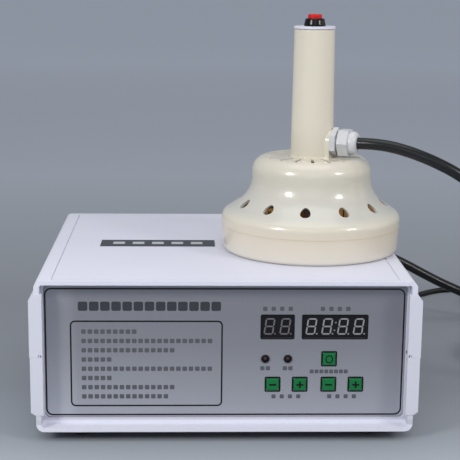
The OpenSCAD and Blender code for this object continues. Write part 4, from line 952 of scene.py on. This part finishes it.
class SEALER_OT_rear(bpy.types.Operator):
    """Fan, guard, mains switch and their screws"""

    bl_idname = "sealer.rear"
    bl_label = "Rear fittings"

    def execute(self, context):
        _, sizes, _ = settings()
        dress(moulded("PBT_black_fan", "#1F2023", 0.4), "fan_frame", "fan_rotor")
        dress(moulded("ABS_black_guard", "#1B1C1F", 0.45), "fan_guard")
        dress(moulded("nylon_black_switch", "#17181A", 0.4), "mains_switch")
        dress(moulded("nylon_black_rocker", "#222326", 0.3), "mains_rocker")
        dress(metal("steel_zinc_pan_head", "#B9BCC2", 0.3), "fan_screws")
        self.mark_rocker(sizes)
        self.paint_recess_shade()
        return {"FINISHED"}

    def mark_rocker(self, sizes):
        """A bar and a ring, one on each half of the rocker, laid on its two faces."""
        rocker = NODES["mains_rocker"].data
        low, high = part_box("mains_rocker")
        middle = (low + high) / 2
        ink = screen_ink("ink_white_rocker", linear("#D8DADD"))
        half, reach, hole, proud = 0.4 * MM, 2 * MM, 1.3 * MM, 0.02 * MM
        bar = bar_outline(half, reach)
        ring = [circle((0, 0), reach), circle((0, 0), hole)]
        bm = bmesh.new()
        for side, add_shape, outlines in ((1, add_area, [bar]), (-1, add_ring, ring)):
            at_z = middle.z + side * (high.z - low.z) / 4
            faces = [f for f in rocker.polygons if f.normal.y > 0.8 and (f.center.z - middle.z) * side > 0]
            face = max(faces, key=lambda f: f.area)
            across = Vector((1, 0, 0))
            up = face.normal.cross(across)
            ground = face.center + up * ((at_z - face.center.z) / up.z)
            ground.x = middle.x
            lift = face.normal * proud
            add_shape(bm, *outlines, lambda a, b: ground + across * a + up * b + lift)
        make_piece("rocker_marks", bm, (0, sizes.ink_height, 0), ink, "mains_rocker")

    def paint_recess_shade(self):
        """Painted shade: dark crosses on the heads of the fan's screws, standing in for the shade in their
        cross recesses.
        """
        low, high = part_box("fan_screws")
        arm, half, inset, depth = 1.7 * MM, 0.35 * MM, 3.0 * MM, 0.05 * MM
        cross = cross_outline(arm, half)
        bm = bmesh.new()
        for x in (low.x + inset, high.x - inset):
            for z in (low.z + inset, high.z - inset):
                add_area(bm, cross, lambda a, b: Vector((x + a, high.y, z + b)))
        shade = moulded("steel_recess_shade", "#2A2B2E", 0.5)
        make_piece("screw_recess_shade", bm, (0, depth, 0), shade, "case")


class SEALER_OT_inside(bpy.types.Operator):
    """Boards and power parts inside the case"""

    bl_idname = "sealer.inside"
    bl_label = "Inside"

    def execute(self, context):
        dress(moulded("glass_epoxy_board", "#1C6036", 0.4), "control_board", "power_board")
        dress(moulded("nylon_black_key_switch", "#202124", 0.45), "key_switches")
        dress(metal("steel_zinc_board_screw", "#B9BCC2", 0.32), "board_screws")
        dress(metal("aluminium_extruded", "#B4B7BC", 0.38), "heat_sink")
        dress(moulded("epoxy_black_device", "#18191B", 0.5), "power_transistors")
        dress(moulded("polypropylene_blue", "#2F4E86", 0.3), "resonant_capacitor")
        dress(moulded("polypropylene_yellow", "#C0A23A", 0.3), "filter_capacitors")
        dress(metal("copper_enamelled", "#B06A38", 0.35), "filter_choke")
        dress(moulded("steel_laminations", "#4C4E53", 0.5), "control_transformer")
        return {"FINISHED"}


class SEALER_PT_panel(bpy.types.Panel):
    """Steps that dress the cap sealer"""

    bl_idname = "SEALER_PT_panel"
    bl_label = "Cap sealer"
    bl_space_type = "VIEW_3D"
    bl_region_type = "UI"
    bl_category = "Cap sealer"

    def draw(self, context):
        for group in (context.scene.sealer_colours, context.scene.sealer_sizes, context.scene.sealer_stage):
            box = self.layout.box()
            for name in group.__annotations__:
                box.prop(group, name)
        for operator in OPERATORS:
            self.layout.operator(operator.bl_idname)


GROUPS = {"sealer_colours": SealerColours, "sealer_sizes": SealerSizes, "sealer_stage": SealerStage}
OPERATORS = (SEALER_OT_stage, SEALER_OT_cables, SEALER_OT_case, SEALER_OT_panel_print, SEALER_OT_displays,
             SEALER_OT_keys, SEALER_OT_head, SEALER_OT_rear, SEALER_OT_inside)


def register():
    for cls in (*GROUPS.values(), *OPERATORS, SEALER_PT_panel):
        bpy.utils.register_class(cls)
    for name, group in GROUPS.items():
        setattr(bpy.types.Scene, name, bpy.props.PointerProperty(type=group))


def unregister():
    for name in GROUPS:
        delattr(bpy.types.Scene, name)
    for cls in reversed((*GROUPS.values(), *OPERATORS, SEALER_PT_panel)):
        bpy.utils.unregister_class(cls)


def main():
    register()
    bpy.ops.sealer.stage()
    bpy.ops.sealer.cables()
    bpy.ops.sealer.case()
    bpy.ops.sealer.panel_print()
    bpy.ops.sealer.displays()
    bpy.ops.sealer.keys()
    bpy.ops.sealer.head()
    bpy.ops.sealer.rear()
    bpy.ops.sealer.inside()


if __name__ == "__main__":
    main()
